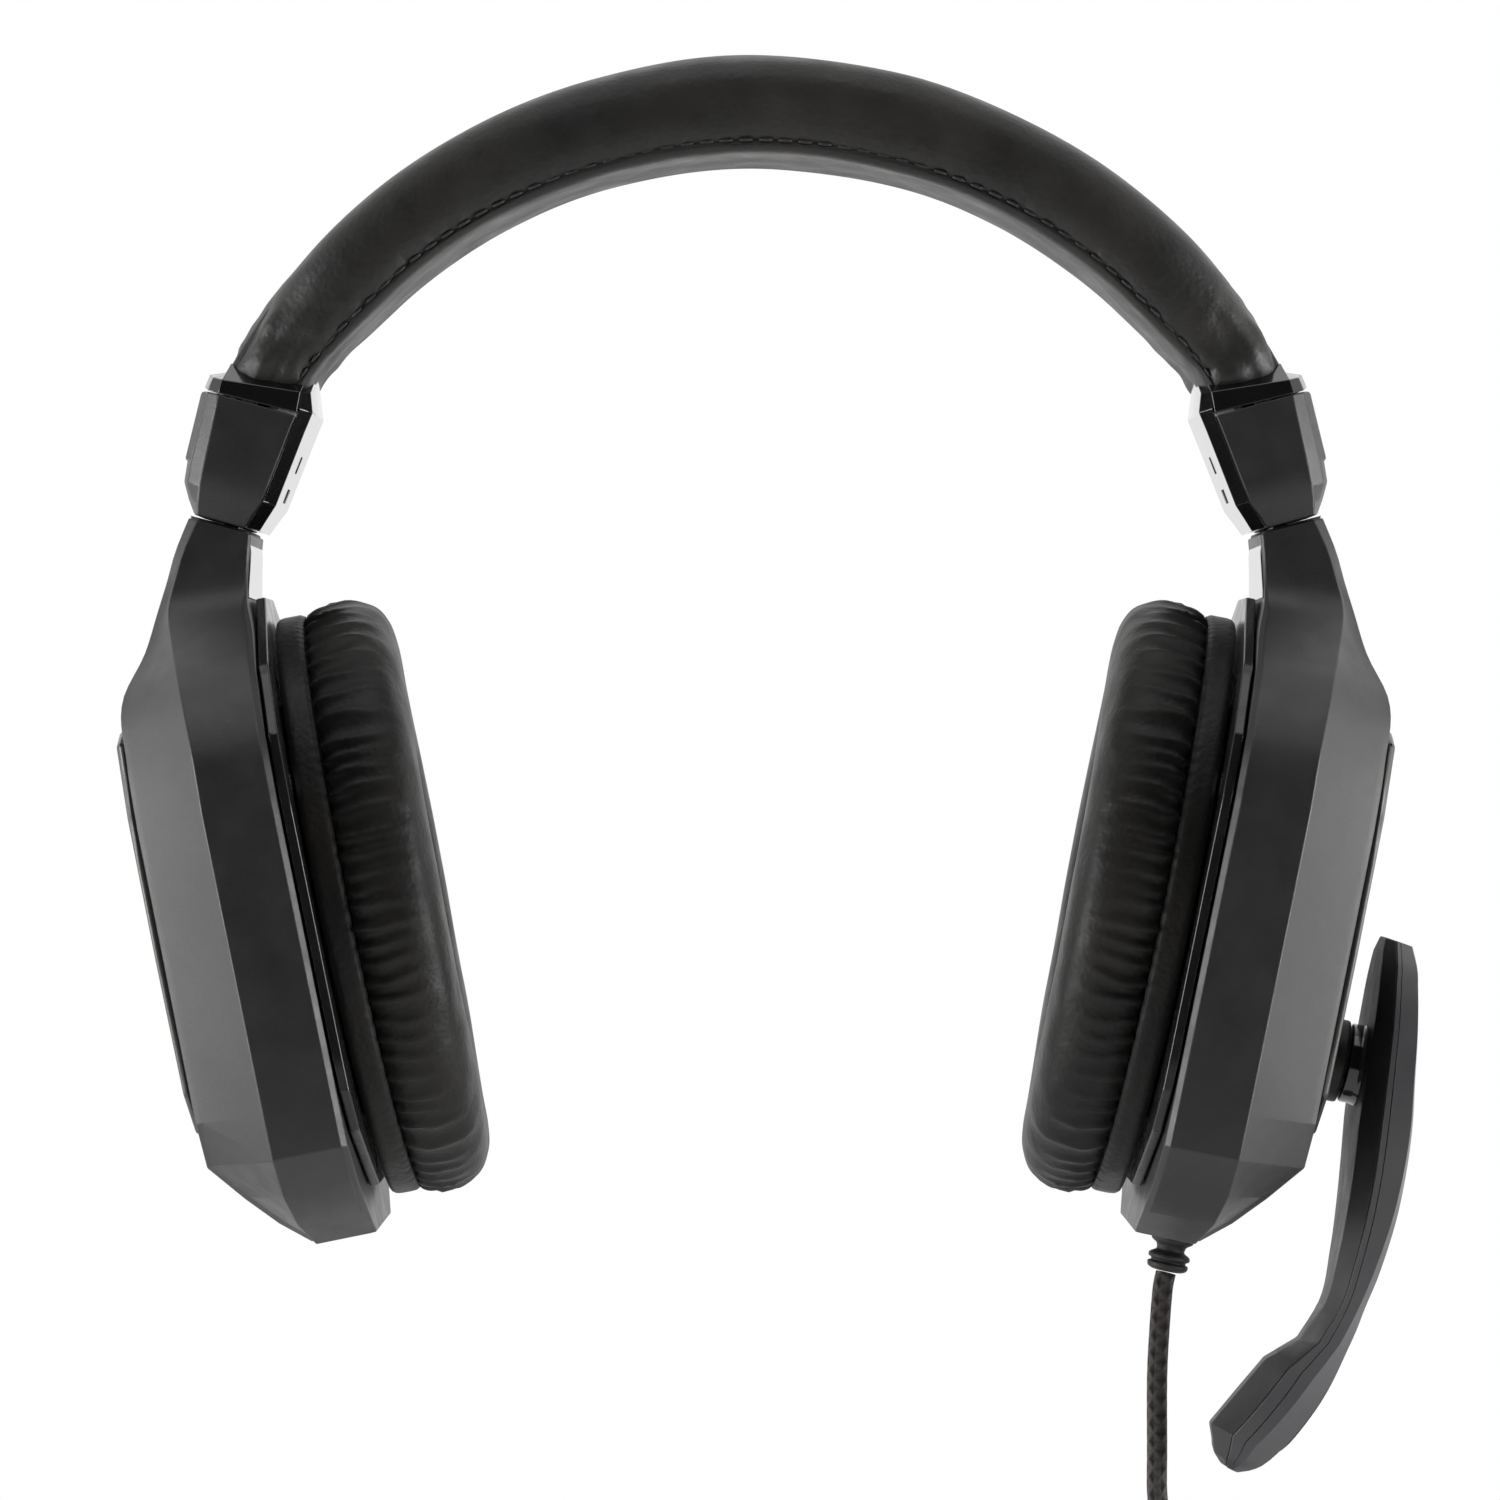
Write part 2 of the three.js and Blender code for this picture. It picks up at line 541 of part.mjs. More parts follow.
function cupGroup(side, hasMic) {
  const group = new THREE.Group();
  cupFrame.decompose(group.position, group.quaternion, group.scale);
  const badge = new THREE.Group();
  badge.position.set(BADGE_FACE, 0, 0);
  const badgePlate = cut(
    plate(polygon(mirrored(BADGE_OUTLINE)), 0.45, 1.85),
    plate(polygon(mirrored(INLAY_OUTLINE)), 0.95, 4),
    ...(hasMic ? [rod(PIVOT_BORE, -2, 6, 16).translate(0, 0, PIVOT_HEIGHT)] : []),
  );
  const inlay = mirrored(INLAY_OUTLINE).map(([y, z]) => [y * 0.97, (z - 18) * 0.97 + 18]);
  badge.add(
    piece(`badge_plate_${side}`, badgePlate, DARK_PLASTIC),
    piece(`badge_inlay_${side}`, plate(polygon(inlay), 1.15, 2.05), TRIM),
  );
  const atDriver = (geometry) => geometry.translate(0, 0, PAD_CENTRE_HEIGHT);
  group.add(
    piece(`cup_shell_${side}`, cupShell(hasMic), SHELL),
    piece(`trim_plate_${side}`, trimPlate(), TRIM),
    piece(`speaker_carrier_${side}`, speakerCarrier(), DARK_PLASTIC),
    piece(`pad_ring_${side}`, padRing(), RUBBER),
    piece(`ear_pad_${side}`, earPad(), LEATHERETTE),
    piece(`speaker_cloth_${side}`, plate(oval([19.6, 26.6]), -7.9, -7), CLOTH),
    piece(`driver_grille_${side}`, driverGrille(), DARK_PLASTIC),
    piece(`driver_diaphragm_${side}`, atDriver(driverDiaphragm()), FILM),
    piece(`driver_basket_${side}`, atDriver(driverBasket()), STEEL),
    piece(`driver_magnet_${side}`, atDriver(driverMagnet()), STEEL),
    badge,
  );
  SHELL_SCREWS.slice(0, 2).forEach((place, i) => {
    group.add(piece(`shell_screw_${side}_${i + 1}`, shellScrew(place), STEEL));
  });
  return group;
}

// ---- Microphone boom, in the left cup's frame ----

// Inner and outer points of the boom's section, and its half width along Y.
const BOOM_PROFILE = [
  { inner: [30.4, 0], outer: [34.7, -0.4], half: 7 },
  { inner: [30.1, -2.4], outer: [35.7, -3.2], half: 11.5 },
  { inner: [30.2, -6.4], outer: [36.1, -6.6], half: 15 },
  { inner: [30.5, -13], outer: [37.1, -13], half: 18 },
  { inner: [30.8, -20.5], outer: [38, -20.5], half: 19 },
  { inner: [31.2, -28.5], outer: [39.4, -28.5], half: 18.3 },
  { inner: [31.9, -35.5], outer: [39.9, -35.5], half: 16.6 },
  { inner: [32.4, -42], outer: [40.2, -42.4], half: 14.4 },
  { inner: [32.7, -50], outer: [39.5, -51], half: 12 },
  { inner: [32.3, -58.5], outer: [38.5, -57.5], half: 10 },
  { inner: [29.9, -64.5], outer: [37.6, -63], half: 9.2 },
  { inner: [25.3, -68.5], outer: [35.9, -69.8], half: 8.8 },
  { inner: [22, -74.5], outer: [33.2, -76.8], half: 8.4 },
  { inner: [18.9, -80.2], outer: [29.8, -82.6], half: 7.4 },
  { inner: [20.7, -84.4], outer: [26.6, -86.4], half: 4.6 },
];

const between = (a, b, share) => [a[0] + (b[0] - a[0]) * share, a[1] + (b[1] - a[1]) * share];

// The inner half lies nearer the head, and its flat meets the outer half's along the parting line.
const boomInnerHalf = () => loft(BOOM_PROFILE.map(({ inner, outer, half }) => {
  const at = (share, y) => {
    const [x, z] = between(inner, outer, share);
    return [x, y, z];
  };
  return mirroredRing([at(0, half * 0.72), at(0.14, half * 0.93), at(BOOM_PARTING - 0.03, half)]);
}));

const boomOuterHalf = () => loft(BOOM_PROFILE.map(({ inner, outer, half }) => {
  const at = (share, y) => {
    const [x, z] = between(inner, outer, share);
    return [x, y, z];
  };
  return mirroredRing([at(BOOM_PARTING + 0.03, half), at(0.8, half * 0.94), at(1, half * 0.7)]);
}));

const CAPSULE = { place: [27.6, 0, -76.2], lean: 58 }; // degrees that its face is turned down

function atCapsule(geometry) {
  return geometry.rotateY(radians(CAPSULE.lean - 30)).translate(...CAPSULE.place);
}

// Turned sections, as [radius, x] rows.
const PIVOT_COLLAR = [
  [PIVOT_BORE, 28.3], [6.2, 28.3], [6.2, 29.7], [5.4, 30.3], [PIVOT_BORE, 30.3], [PIVOT_BORE, 28.3],
];
const PIVOT_SHAFT = [[0, 17.2], [4.4, 17.2], [4.4, 19.4], [2.5, 19.4], [2.5, 35.6], [0, 35.6]];
const PIVOT_BASE = [
  [PIVOT_BORE, PIVOT_FACE], [PIVOT_RADIUS, PIVOT_FACE], [PIVOT_RADIUS, PIVOT_BASE_TOP],
  [PIVOT_BORE, PIVOT_BASE_TOP], [PIVOT_BORE, PIVOT_FACE],
];

function micBoom() {
  const pivot = (geometry) => geometry.translate(0, 0, PIVOT_HEIGHT);
  const shaftHole = () => pivot(rod(2.8, 20, 36, 16));
  const capsuleWell = () => atCapsule(rod(3.6, -3.2, 3.2, 16));
  const port = () => atCapsule(box([3, 9], [-1.2, 1.2], [-4, 4]));
  return [
    piece('boom_inner_half', cut(boomInnerHalf(), shaftHole(), capsuleWell()), SHELL),
    piece('boom_outer_half', cut(boomOuterHalf(), shaftHole(), capsuleWell(), port()), SHELL),
    piece('mic_capsule', atCapsule(rod(3.2, -2.8, 2.4, 16)), STEEL),
    piece('pivot_collar', pivot(turned(PIVOT_COLLAR)), DARK_PLASTIC),
    piece('pivot_shaft', pivot(turned(PIVOT_SHAFT, 16)), STEEL),
  ];
}

const pivotBase = () => turned(PIVOT_BASE).translate(0, 0, PIVOT_HEIGHT);

// ---- Cord ----

const inCup = ([x, y, z]) => V(x, y, z).applyMatrix4(cupFrame);
const STRAIN_LENGTH = 6.2;

// A short rubber bush: flange, neck and grooved collar, along the cord.
function strainRelief() {
  const rows = [
    [0, 1.8], [1.6, 1.8], [1.6, -0.4], [3.3, -0.4], [3.3, -1.6], [2.4, -2.2], [2.2, -3], [3.2, -3.6], [3.3, -4.2],
    [2.7, -4.4], [2.7, -4.8], [3.3, -5], [3.2, -5.8], [2.5, -STRAIN_LENGTH], [0, -STRAIN_LENGTH],
  ];
  return turned(rows.reverse(), 12).rotateY(-Math.PI / 2).translate(...CORD_EXIT);
}

const COIL_HALF = COIL_TURNS_ACROSS * CORD_DIAMETER / 2; // half the bundle's width, each way
const COIL_RADIUS = COIL_MEAN_DIAMETER / 2;
const [COIL_X, COIL_Y, COIL_Z] = COIL_CENTRE;

// The cord drops out of the bush, turns upright under its own weight and meets the top of the coil.
function cordDrop() {
  const [x, , z] = CORD_EXIT;
  const start = inCup([x, 0, z - STRAIN_LENGTH - GAP]);
  const end = COIL_Z + COIL_RADIUS + COIL_HALF + GAP;
  const points = [
    start,
    inCup([x, 0, z - STRAIN_LENGTH - 3]),
    V(COIL_X + 0.4, 0, -184),
    V(COIL_X, 0, -192),
    V(COIL_X, 0, -203),
    V(COIL_X, 0, end),
  ];
  return tube(points, CORD_DIAMETER, 8, 12);
}

// A ring of square section about the Y axis, standing proud of the coil by a margin.
function coilRing(margin, sides = 40) {
  const [inner, outer] = [COIL_RADIUS - COIL_HALF - margin, COIL_RADIUS + COIL_HALF + margin];
  const half = COIL_HALF + margin;
  const rows = [[inner, -half], [outer, -half], [outer, half], [inner, half], [inner, -half]];
  const profile = rows.map(([radius, y]) => new THREE.Vector2(radius, y));
  return new THREE.LatheGeometry(profile, sides).translate(...COIL_CENTRE);
}

// A strap round the bundle, near the top of the coil.
const TIE_ANGLE = 34; // degrees from the top
const TIE_WIDTH = 9;

function cordTie() {
  const window = box([-TIE_WIDTH / 2, TIE_WIDTH / 2], [-20, 20], [COIL_RADIUS - 14, COIL_RADIUS + 14])
    .rotateY(radians(TIE_ANGLE)).translate(...COIL_CENTRE);
  return toSolid(coilRing(GAP + 1.2)).subtract(toSolid(coilRing(GAP))).intersect(toSolid(window));
}

// The cord's end leaves the coil's side and hangs straight down into the plug.
const COIL_OUTER = COIL_RADIUS + COIL_HALF;
const TAIL_X = COIL_X + COIL_OUTER - CORD_DIAMETER / 2;
const TAIL_Y = COIL_Y + COIL_HALF - CORD_DIAMETER / 2;
const TAIL_TOP = COIL_Z - Math.sqrt(COIL_OUTER ** 2 - (COIL_OUTER - CORD_DIAMETER) ** 2) - GAP;
const PLUG_TOP = TAIL_TOP - 8;

function cordTail() {
  const points = [V(TAIL_X, TAIL_Y, TAIL_TOP), V(TAIL_X, TAIL_Y, PLUG_TOP + GAP)];
  return tube(points, CORD_DIAMETER, 8, 2);
}

function atPlug(rows, sides = 20) {
  return turned(rows, sides).rotateY(Math.PI / 2).translate(TAIL_X, TAIL_Y, PLUG_TOP);
}

const plugSleeve = () => atPlug([[0, 0], [2, 0], [2.6, 6.7], [0, 6.7]], 16);
const plugGrip = () => atPlug([[0, 7], [3.2, 7], [4, 9], [4, 21], [3.7, 23.2], [0, 23.2]]);
const jackPin = () => atPlug([
  [0, 23.5], [2.6, 23.5], [2.6, 24.2], [1.75, 24.2], [1.75, 36], [1.1, 36.6], [1.1, 37], [1.7, 38], [0.5, 39.2],
  [0, 39.2],
], 16);

// ---- Assembly ----

const headset = new THREE.Group();
headset.add(headbandCover(), headbandSpring(), crossoverCable());

const sides = { left: new THREE.Group(), right: new THREE.Group() };
for (const [side, group] of Object.entries(sides)) {
  const hasMic = side === 'left';
  const cup = cupGroup(side, hasMic);
  if (hasMic) {
    cup.add(...micBoom(), piece('pivot_base', pivotBase(), DARK_PLASTIC));
    cup.add(piece('strain_relief', strainRelief(), RUBBER));
    cup.add(piece('mic_board', box([2.8, 4], [-13, 13], [-36, -25]), BOARD));
  }
  group.add(adjuster(side), cup);
}
sides.right.scale.x = -1;
headset.add(sides.left, sides.right);

headset.add(
  piece('cord', cordDrop(), BRAID),
  piece('cord_coil', coilRing(0), BRAID),
  piece('cord_tie', cordTie(), CLOTH),
  piece('cord_tail', cordTail(), BRAID),
  piece('plug_sleeve', plugSleeve(), RUBBER),
  piece('plug_grip', plugGrip(), RUBBER),
  piece('jack_pin', jackPin(), GOLD),
);

export default headset;
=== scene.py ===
"""Looks of the gaming headset: pieces in millimetres in the row frame, scaled to metres when meshed."""
import json
import math

import bmesh
import bpy
from mathutils import Matrix, Vector, noise


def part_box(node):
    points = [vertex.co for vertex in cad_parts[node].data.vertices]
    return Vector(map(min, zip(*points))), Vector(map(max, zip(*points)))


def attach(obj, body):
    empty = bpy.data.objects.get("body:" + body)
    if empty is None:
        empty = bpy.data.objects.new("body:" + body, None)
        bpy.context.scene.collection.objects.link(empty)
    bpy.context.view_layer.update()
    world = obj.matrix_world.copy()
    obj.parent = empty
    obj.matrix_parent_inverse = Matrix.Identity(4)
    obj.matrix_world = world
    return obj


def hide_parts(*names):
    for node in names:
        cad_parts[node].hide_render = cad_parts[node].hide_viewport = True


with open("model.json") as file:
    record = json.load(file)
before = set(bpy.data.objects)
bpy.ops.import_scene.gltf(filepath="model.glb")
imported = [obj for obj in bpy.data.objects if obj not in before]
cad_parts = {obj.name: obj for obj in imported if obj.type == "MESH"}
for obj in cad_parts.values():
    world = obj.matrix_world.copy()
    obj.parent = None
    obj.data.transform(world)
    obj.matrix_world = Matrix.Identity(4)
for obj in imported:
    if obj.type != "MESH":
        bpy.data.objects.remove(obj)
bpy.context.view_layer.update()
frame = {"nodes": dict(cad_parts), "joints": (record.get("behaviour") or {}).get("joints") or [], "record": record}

scene = bpy.context.scene
MM = 0.001
MOUNTS = {mount["name"]: mount for mount in frame["record"]["mounts"]}
JOINTS = {joint["name"]: joint for joint in frame["joints"]}
RIGHT = Matrix.Scale(-1, 4, (1, 0, 0))


# ---- Places ----

def cup_matrix():
    """The left cup's frame: X out of the cup, Z up along it. The ear mount lies on the cushion's face."""
    mount = MOUNTS["left_ear_face"]
    out = -Vector(mount["axis"])
    up = Vector((-out.z, 0, out.x))
    origin = Vector(mount["pos_m"]) / MM - out * PAD_FACE - up * EAR_MOUNT_HEIGHT
    return frame_matrix(out, up, origin)


def frame_matrix(out, up, origin):
    """A frame with X out, Z up and the headset's own Y."""
    matrix = Matrix((out, (0, 1, 0), up)).transposed().to_4x4()
    matrix.translation = origin
    return matrix


def adjuster_matrix():
    down = Vector(JOINTS["adjuster_left_slide"]["axis"])
    return frame_matrix(Vector((-down.z, 0, down.x)), -down, Vector(ADJUSTER_CENTRE))


CROWN_RADIUS = 80
BAND_THICKNESS = 15.1
BAND_SWEEP = 61.6  # degrees from the crown to each end of the padding
ADJUSTER_CENTRE = (78.5, 0, -47.2)
PAD_FACE = -18.5
EAR_MOUNT_HEIGHT = 34.25
PAD_BORE = (20, 27)  # half width and half height of the ear opening
PAD_HEIGHT = -2  # height of the cushion's middle in the cup's frame
BADGE_FACE = 22.85  # the shell's outer face under the badge
PIVOT_HEIGHT = -20.5
CORD = 3.2
CORD_EXIT = (7.5, 0, -58.5)
COIL_CENTRE = Vector((63, 4.8, -241.4))
COIL_LAYERS = 4
COIL_OUTER = 6 * CORD + 1.5 * CORD  # radius of the outermost turns
CUP = cup_matrix()
ADJUSTER = adjuster_matrix()


# ---- Camera, then the cord ----

def add_camera():
    data = bpy.data.cameras.new("camera")
    data.sensor_width = 36
    data.lens = 152.9
    camera = bpy.data.objects.new("camera", data)
    camera.location = (-0.0009, -1.0, -0.0935)
    camera.rotation_euler = (math.radians(90), 0, 0)
    scene.collection.objects.link(camera)
    scene.camera = camera


add_camera()


def smoothstep(value, low, high):
    """0 up to low, 1 from high, and a smooth rise between them."""
    share = min(1, max(0, (value - low) / (high - low)))
    return share * share * (3 - 2 * share)


def catmull(points, steps):
    """A smooth line through points, with steps points from each one to the next."""
    padded = [2 * points[0] - points[1], *points, 2 * points[-1] - points[-2]]
    line = []
    for a, b, c, d in zip(padded, padded[1:], padded[2:], padded[3:]):
        for i in range(steps):
            t = i / steps
            line.append(0.5 * (2 * b + (c - a) * t + (2 * a - 5 * b + 4 * c - d) * t * t
                               + (3 * b - a - 3 * c + d) * t * t * t))
    return [*line, points[-1]]


def coil_turn(turn, degrees):
    """Radius and depth of a turn. Its step to the next place comes after its neighbours have made room."""
    def place(k):
        column, layer = divmod(k, COIL_LAYERS)
        inward = layer if column % 2 == 0 else COIL_LAYERS - 1 - layer
        return COIL_OUTER - CORD * inward, CORD * column
    late = 2 * (turn // COIL_LAYERS) + (turn % COIL_LAYERS == COIL_LAYERS - 1)
    step = smoothstep(degrees, 320 - 40 * late, 360 - 40 * late)
    (r0, y0), (r1, y1) = place(turn), place(min(turn + 1, COIL_LAYERS ** 2 - 1))
    return r0 + (r1 - r0) * step, y0 + (y1 - y0) * step


def cord_route():
    """From the bush, straight down, round the coil and out into the plug."""
    start = CUP @ Vector(CORD_EXIT)
    x = COIL_CENTRE.x
    below = CUP @ Vector((7.5, 0, -61))
    drop = [start, below, Vector((x + 0.4, 0, -184)), Vector((x, 0, -192)), Vector((x, 0, -203))]
    bend = [Vector((x + 7.5 - 7.5 * math.cos(a), 0, -210 - 7.5 * math.sin(a))) for a in (0, 0.4, 0.8, 1.1)]
    route = catmull([*drop, *bend], 4)
    last = COIL_LAYERS ** 2 - 1
    for k in range(COIL_LAYERS ** 2):
        for degrees in range(20 if k == 0 else 0, 91 if k == last else 360, 10):
            radius, depth = coil_turn(k, degrees)
            angle = math.radians(degrees)
            height = COIL_CENTRE.z + radius * math.cos(angle)
            route.append(Vector((x + radius * math.sin(angle), depth, height)))
    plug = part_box("plug_sleeve")[1] / MM
    tail = route[-1]
    route += [Vector((tail.x, tail.y, tail.z + (plug.z - 1 - tail.z) * i / 5)) for i in range(1, 6)]
    return route


def turned_rings(rows, sides):
    """Rings about the X axis from (radius, x) rows."""
    return [[Vector((x, r * math.cos(2 * math.pi * i / sides), r * math.sin(2 * math.pi * i / sides)))
             for i in range(sides)] for r, x in rows]


def loft(rings, looped=False):
    """Points and faces of a skin over a row of rings with the same number of points."""
    count = len(rings[0])
    points = [p for ring in rings for p in ring]
    faces = []
    for row in range(len(rings) if looped else len(rings) - 1):
        after = (row + 1) % len(rings)
        for i in range(count):
            j = (i + 1) % count
            faces.append((row * count + i, row * count + j, after * count + j, after * count + i))
    if not looped:
        faces.append(tuple(reversed(range(count))))
        faces.append(tuple((len(rings) - 1) * count + i for i in range(count)))
    return points, faces


def both_sides(half):
    """A ring from its y > 0 half, of (x, y) pairs."""
    return [*half, *((x, -y) for x, y in reversed(half))]


def with_back(half):
    """A ring from its y > 0 half, of points in space."""
    return [*half, *(Vector((p.x, -p.y, p.z)) for p in reversed(half))]


def piece(name, shape, material, place=None):
    """One closed mesh object, in metres, with its faces pointing out."""
    points, faces = shape
    mesh = bpy.data.meshes.new(name)
    mesh.from_pydata(points, [], faces)
    body = bmesh.new()
    body.from_mesh(mesh)
    bmesh.ops.remove_doubles(body, verts=body.verts, dist=1e-4)
    bmesh.ops.recalc_face_normals(body, faces=body.faces)
    body.to_mesh(mesh)
    body.free()
    if place:
        mesh.transform(place)
    mesh.transform(Matrix.Scale(MM, 4))
    mesh.polygons.foreach_set("use_smooth", [True] * len(mesh.polygons))
    mesh.materials.append(material)
    obj = bpy.data.objects.new(name, mesh)
    scene.collection.objects.link(obj)
    return obj


def bevelled(obj, width, segments=3, angle=24, miter="MITER_ARC"):
    """Rounds the edges that turn more than an angle, as a mould does, and keeps the result as the mesh."""
    bevel = obj.modifiers.new("bevel", "BEVEL")
    bevel.width = width * MM
    bevel.segments = segments
    bevel.limit_method = "ANGLE"
    bevel.angle_limit = math.radians(angle)
    bevel.harden_normals = True
    bevel.miter_outer = miter
    bpy.context.view_layer.update()
    result = bpy.data.meshes.new_from_object(obj.evaluated_get(bpy.context.evaluated_depsgraph_get()))
    obj.modifiers.clear()
    obj.data = result
    return obj


def mirrored(obj, name):
    """The same piece for the other side of the headset."""
    twin = bpy.data.objects.new(name, obj.data.copy())
    twin.data.transform(RIGHT)
    twin.data.flip_normals()
    scene.collection.objects.link(twin)
    return twin


def fit(obj, body, slot, *nodes):
    """Rides a piece on its body and hides the CAD nodes that it replaces. Its slot is not used."""
    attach(obj, body)
    if nodes:
        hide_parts(*nodes)
    return obj


def fit_both(obj, body, slot, *nodes):
    """Fits a left piece named name_left and its mirrored twin, name_right."""
    twin = mirrored(obj, obj.name.replace("left", "right"))
    for each, side in ((obj, "left"), (twin, "right")):
        owner = body if body == "headband" else f"{body}_{side}"
        fit(each, owner, slot, *(f"{node}_{side}" for node in nodes))
    return obj, twin


# ---- Materials ----

class Surface:
    """A principled material whose colour, roughness and relief come from procedural nodes."""

    def __init__(self, name, roughness, metallic=0.0, **sockets):
        self.material = bpy.data.materials.new(name)
        self.material.use_nodes = True
        self.tree = self.material.node_tree
        self.shader = self.tree.nodes["Principled BSDF"]
        self.shader.inputs["Roughness"].default_value = roughness
        self.shader.inputs["Metallic"].default_value = metallic
        for socket, value in sockets.items():
            self.shader.inputs[socket.replace("_", " ")].default_value = value
        self.place = self.node("TexCoord").outputs["Object"]
        self.bump = None

    def node(self, kind, **settings):
        node = self.tree.nodes.new("ShaderNode" + kind)
        for key, value in settings.items():
            setattr(node, key, value)
        return node

    def link(self, source, target):
        self.tree.links.new(source, target)

    def math(self, operation, first, second=None):
        node = self.node("Math", operation=operation)
        for socket, value in zip(node.inputs, (first, second)):
            if isinstance(value, (int, float)):
                socket.default_value = value
            elif value is not None:
                self.link(value, socket)
        return node.outputs[0]

    def stretched(self, scale):
        mapping = self.node("Mapping")
        mapping.inputs["Scale"].default_value = scale
        self.link(self.place, mapping.inputs["Vector"])
        return mapping.outputs["Vector"]

    def noise(self, scale, detail=4, rough=0.55, place=None):
        node = self.node("TexNoise")
        node.inputs["Scale"].default_value = scale
        node.inputs["Detail"].default_value = detail
        node.inputs["Roughness"].default_value = rough
        self.link(place or self.place, node.inputs["Vector"])
        return node.outputs["Fac"]

    def cells(self, scale, feature="F1"):
        node = self.node("TexVoronoi", feature=feature)
        node.inputs["Scale"].default_value = scale
        self.link(self.place, node.inputs["Vector"])
        return node.outputs["Distance"]

    def ranged(self, value, low, high, start=0.3, end=0.7):
        node = self.node("MapRange")
        self.link(value, node.inputs["Value"])
        for socket, number in (("From Min", start), ("From Max", end), ("To Min", low), ("To Max", high)):
            node.inputs[socket].default_value = number
        return node.outputs["Result"]

    def coloured(self, value, dark, light, start=0.3, end=0.7):
        """The base colour runs between two colours."""
        node = self.node("Mix", data_type="RGBA")
        self.link(self.ranged(value, 0, 1, start, end), node.inputs["Factor"])
        node.inputs["A"].default_value = (*dark, 1)
        node.inputs["B"].default_value = (*light, 1)
        self.link(node.outputs["Result"], self.shader.inputs["Base Color"])

    def rough(self, value, low, high):
        self.link(self.ranged(value, low, high), self.shader.inputs["Roughness"])

    def relief(self, height, depth, strength):
        """Adds a relief whose full height is depth millimetres."""
        node = self.node("Bump")
        node.inputs["Strength"].default_value = strength
        node.inputs["Distance"].default_value = depth * MM
        self.link(height, node.inputs["Height"])
        if self.bump:
            self.link(self.bump, node.inputs["Normal"])
        self.bump = node.outputs["Normal"]
        self.link(self.bump, self.shader.inputs["Normal"])


def leatherette(name, specular, dark, light):
    """Thin synthetic leather: pebbled grain, fine creases, soft wear."""
    s = Surface(name, 0.5, Sheen_Weight=0.05, Sheen_Roughness=0.4, Specular_IOR_Level=specular)
    s.coloured(s.noise(45, 5), dark, light)
    s.rough(s.noise(160, 6), 0.42, 0.58)
    s.relief(s.cells(1250, "SMOOTH_F1"), 0.11, 0.6)
    s.relief(s.noise(2600, 3), 0.03, 0.5)
    s.relief(s.noise(260, 5, 0.6), 0.22, 0.35)
    return s.material


def moulded(name, dark, light, roughness, grain=0.035):
    """Moulded plastic with a spark-eroded grain and slightly uneven sheen."""
    s = Surface(name, roughness)
    s.coloured(s.noise(60, 4), dark, light)
    s.rough(s.noise(220, 5), roughness - 0.05, roughness + 0.06)
    s.relief(s.noise(3800, 3, 0.6), grain, 0.6)
    s.relief(s.cells(2300), grain * 0.6, 0.4)
    s.relief(s.noise(90, 2), 0.06, 0.25)
    return s.material


def polished():
    """Polished black plastic: fine swirls and a little dust in the roughness, almost no relief."""
    s = Surface("gloss", 0.1, Coat_Weight=0.4, Coat_Roughness=0.05)
    s.coloured(s.noise(80, 3), (0.0035, 0.0035, 0.004), (0.006, 0.006, 0.0065))
    s.rough(s.noise(900, 8, 0.75, s.stretched((1, 6, 1))), 0.07, 0.17)
    s.relief(s.noise(55, 2), 0.03, 0.3)
    return s.material


def rubbery(name="rubber"):
    s = Surface(name, 0.62)
    s.coloured(s.noise(70, 4), (0.0085, 0.0085, 0.009), (0.015, 0.015, 0.0155))
    s.rough(s.noise(400, 4), 0.54, 0.72)
    s.relief(s.noise(3000, 3), 0.03, 0.6)
    return s.material


def brushed(name="steel", light=(0.56, 0.57, 0.58), dark=(0.4, 0.41, 0.42), roughness=0.28):
    s = Surface(name, roughness, metallic=1.0)
    lines = s.noise(2200, 3, 0.6, s.stretched((1, 0.03, 1)))
    s.coloured(lines, dark, light)
    s.rough(lines, roughness - 0.07, roughness + 0.1)
    s.relief(lines, 0.012, 0.6)
    return s.material


def woven(name="cloth", pitch=0.42):
    """A thin open cloth over a driver: crossed threads, darker in the dips of the weave as painted shade."""
    s = Surface(name, 0.9, Sheen_Weight=0.2, Sheen_Roughness=0.5)
    split = s.node("SeparateXYZ")
    s.link(s.place, split.inputs[0])
    turn = 2 * math.pi / (pitch * MM)
    across = s.math("SINE", s.math("MULTIPLY", split.outputs["Y"], turn))
    along = s.math("SINE", s.math("MULTIPLY", split.outputs["Z"], turn))
    threads = s.math("MULTIPLY", across, along)
    # The colour follows the threads' height: painted shade in the dips of the weave.
    s.coloured(threads, (0.004, 0.004, 0.0045), (0.021, 0.021, 0.022), -0.7, 0.7)
    s.relief(threads, 0.12, 0.9)
    s.relief(s.noise(4000, 2), 0.03, 0.5)
    return s.material


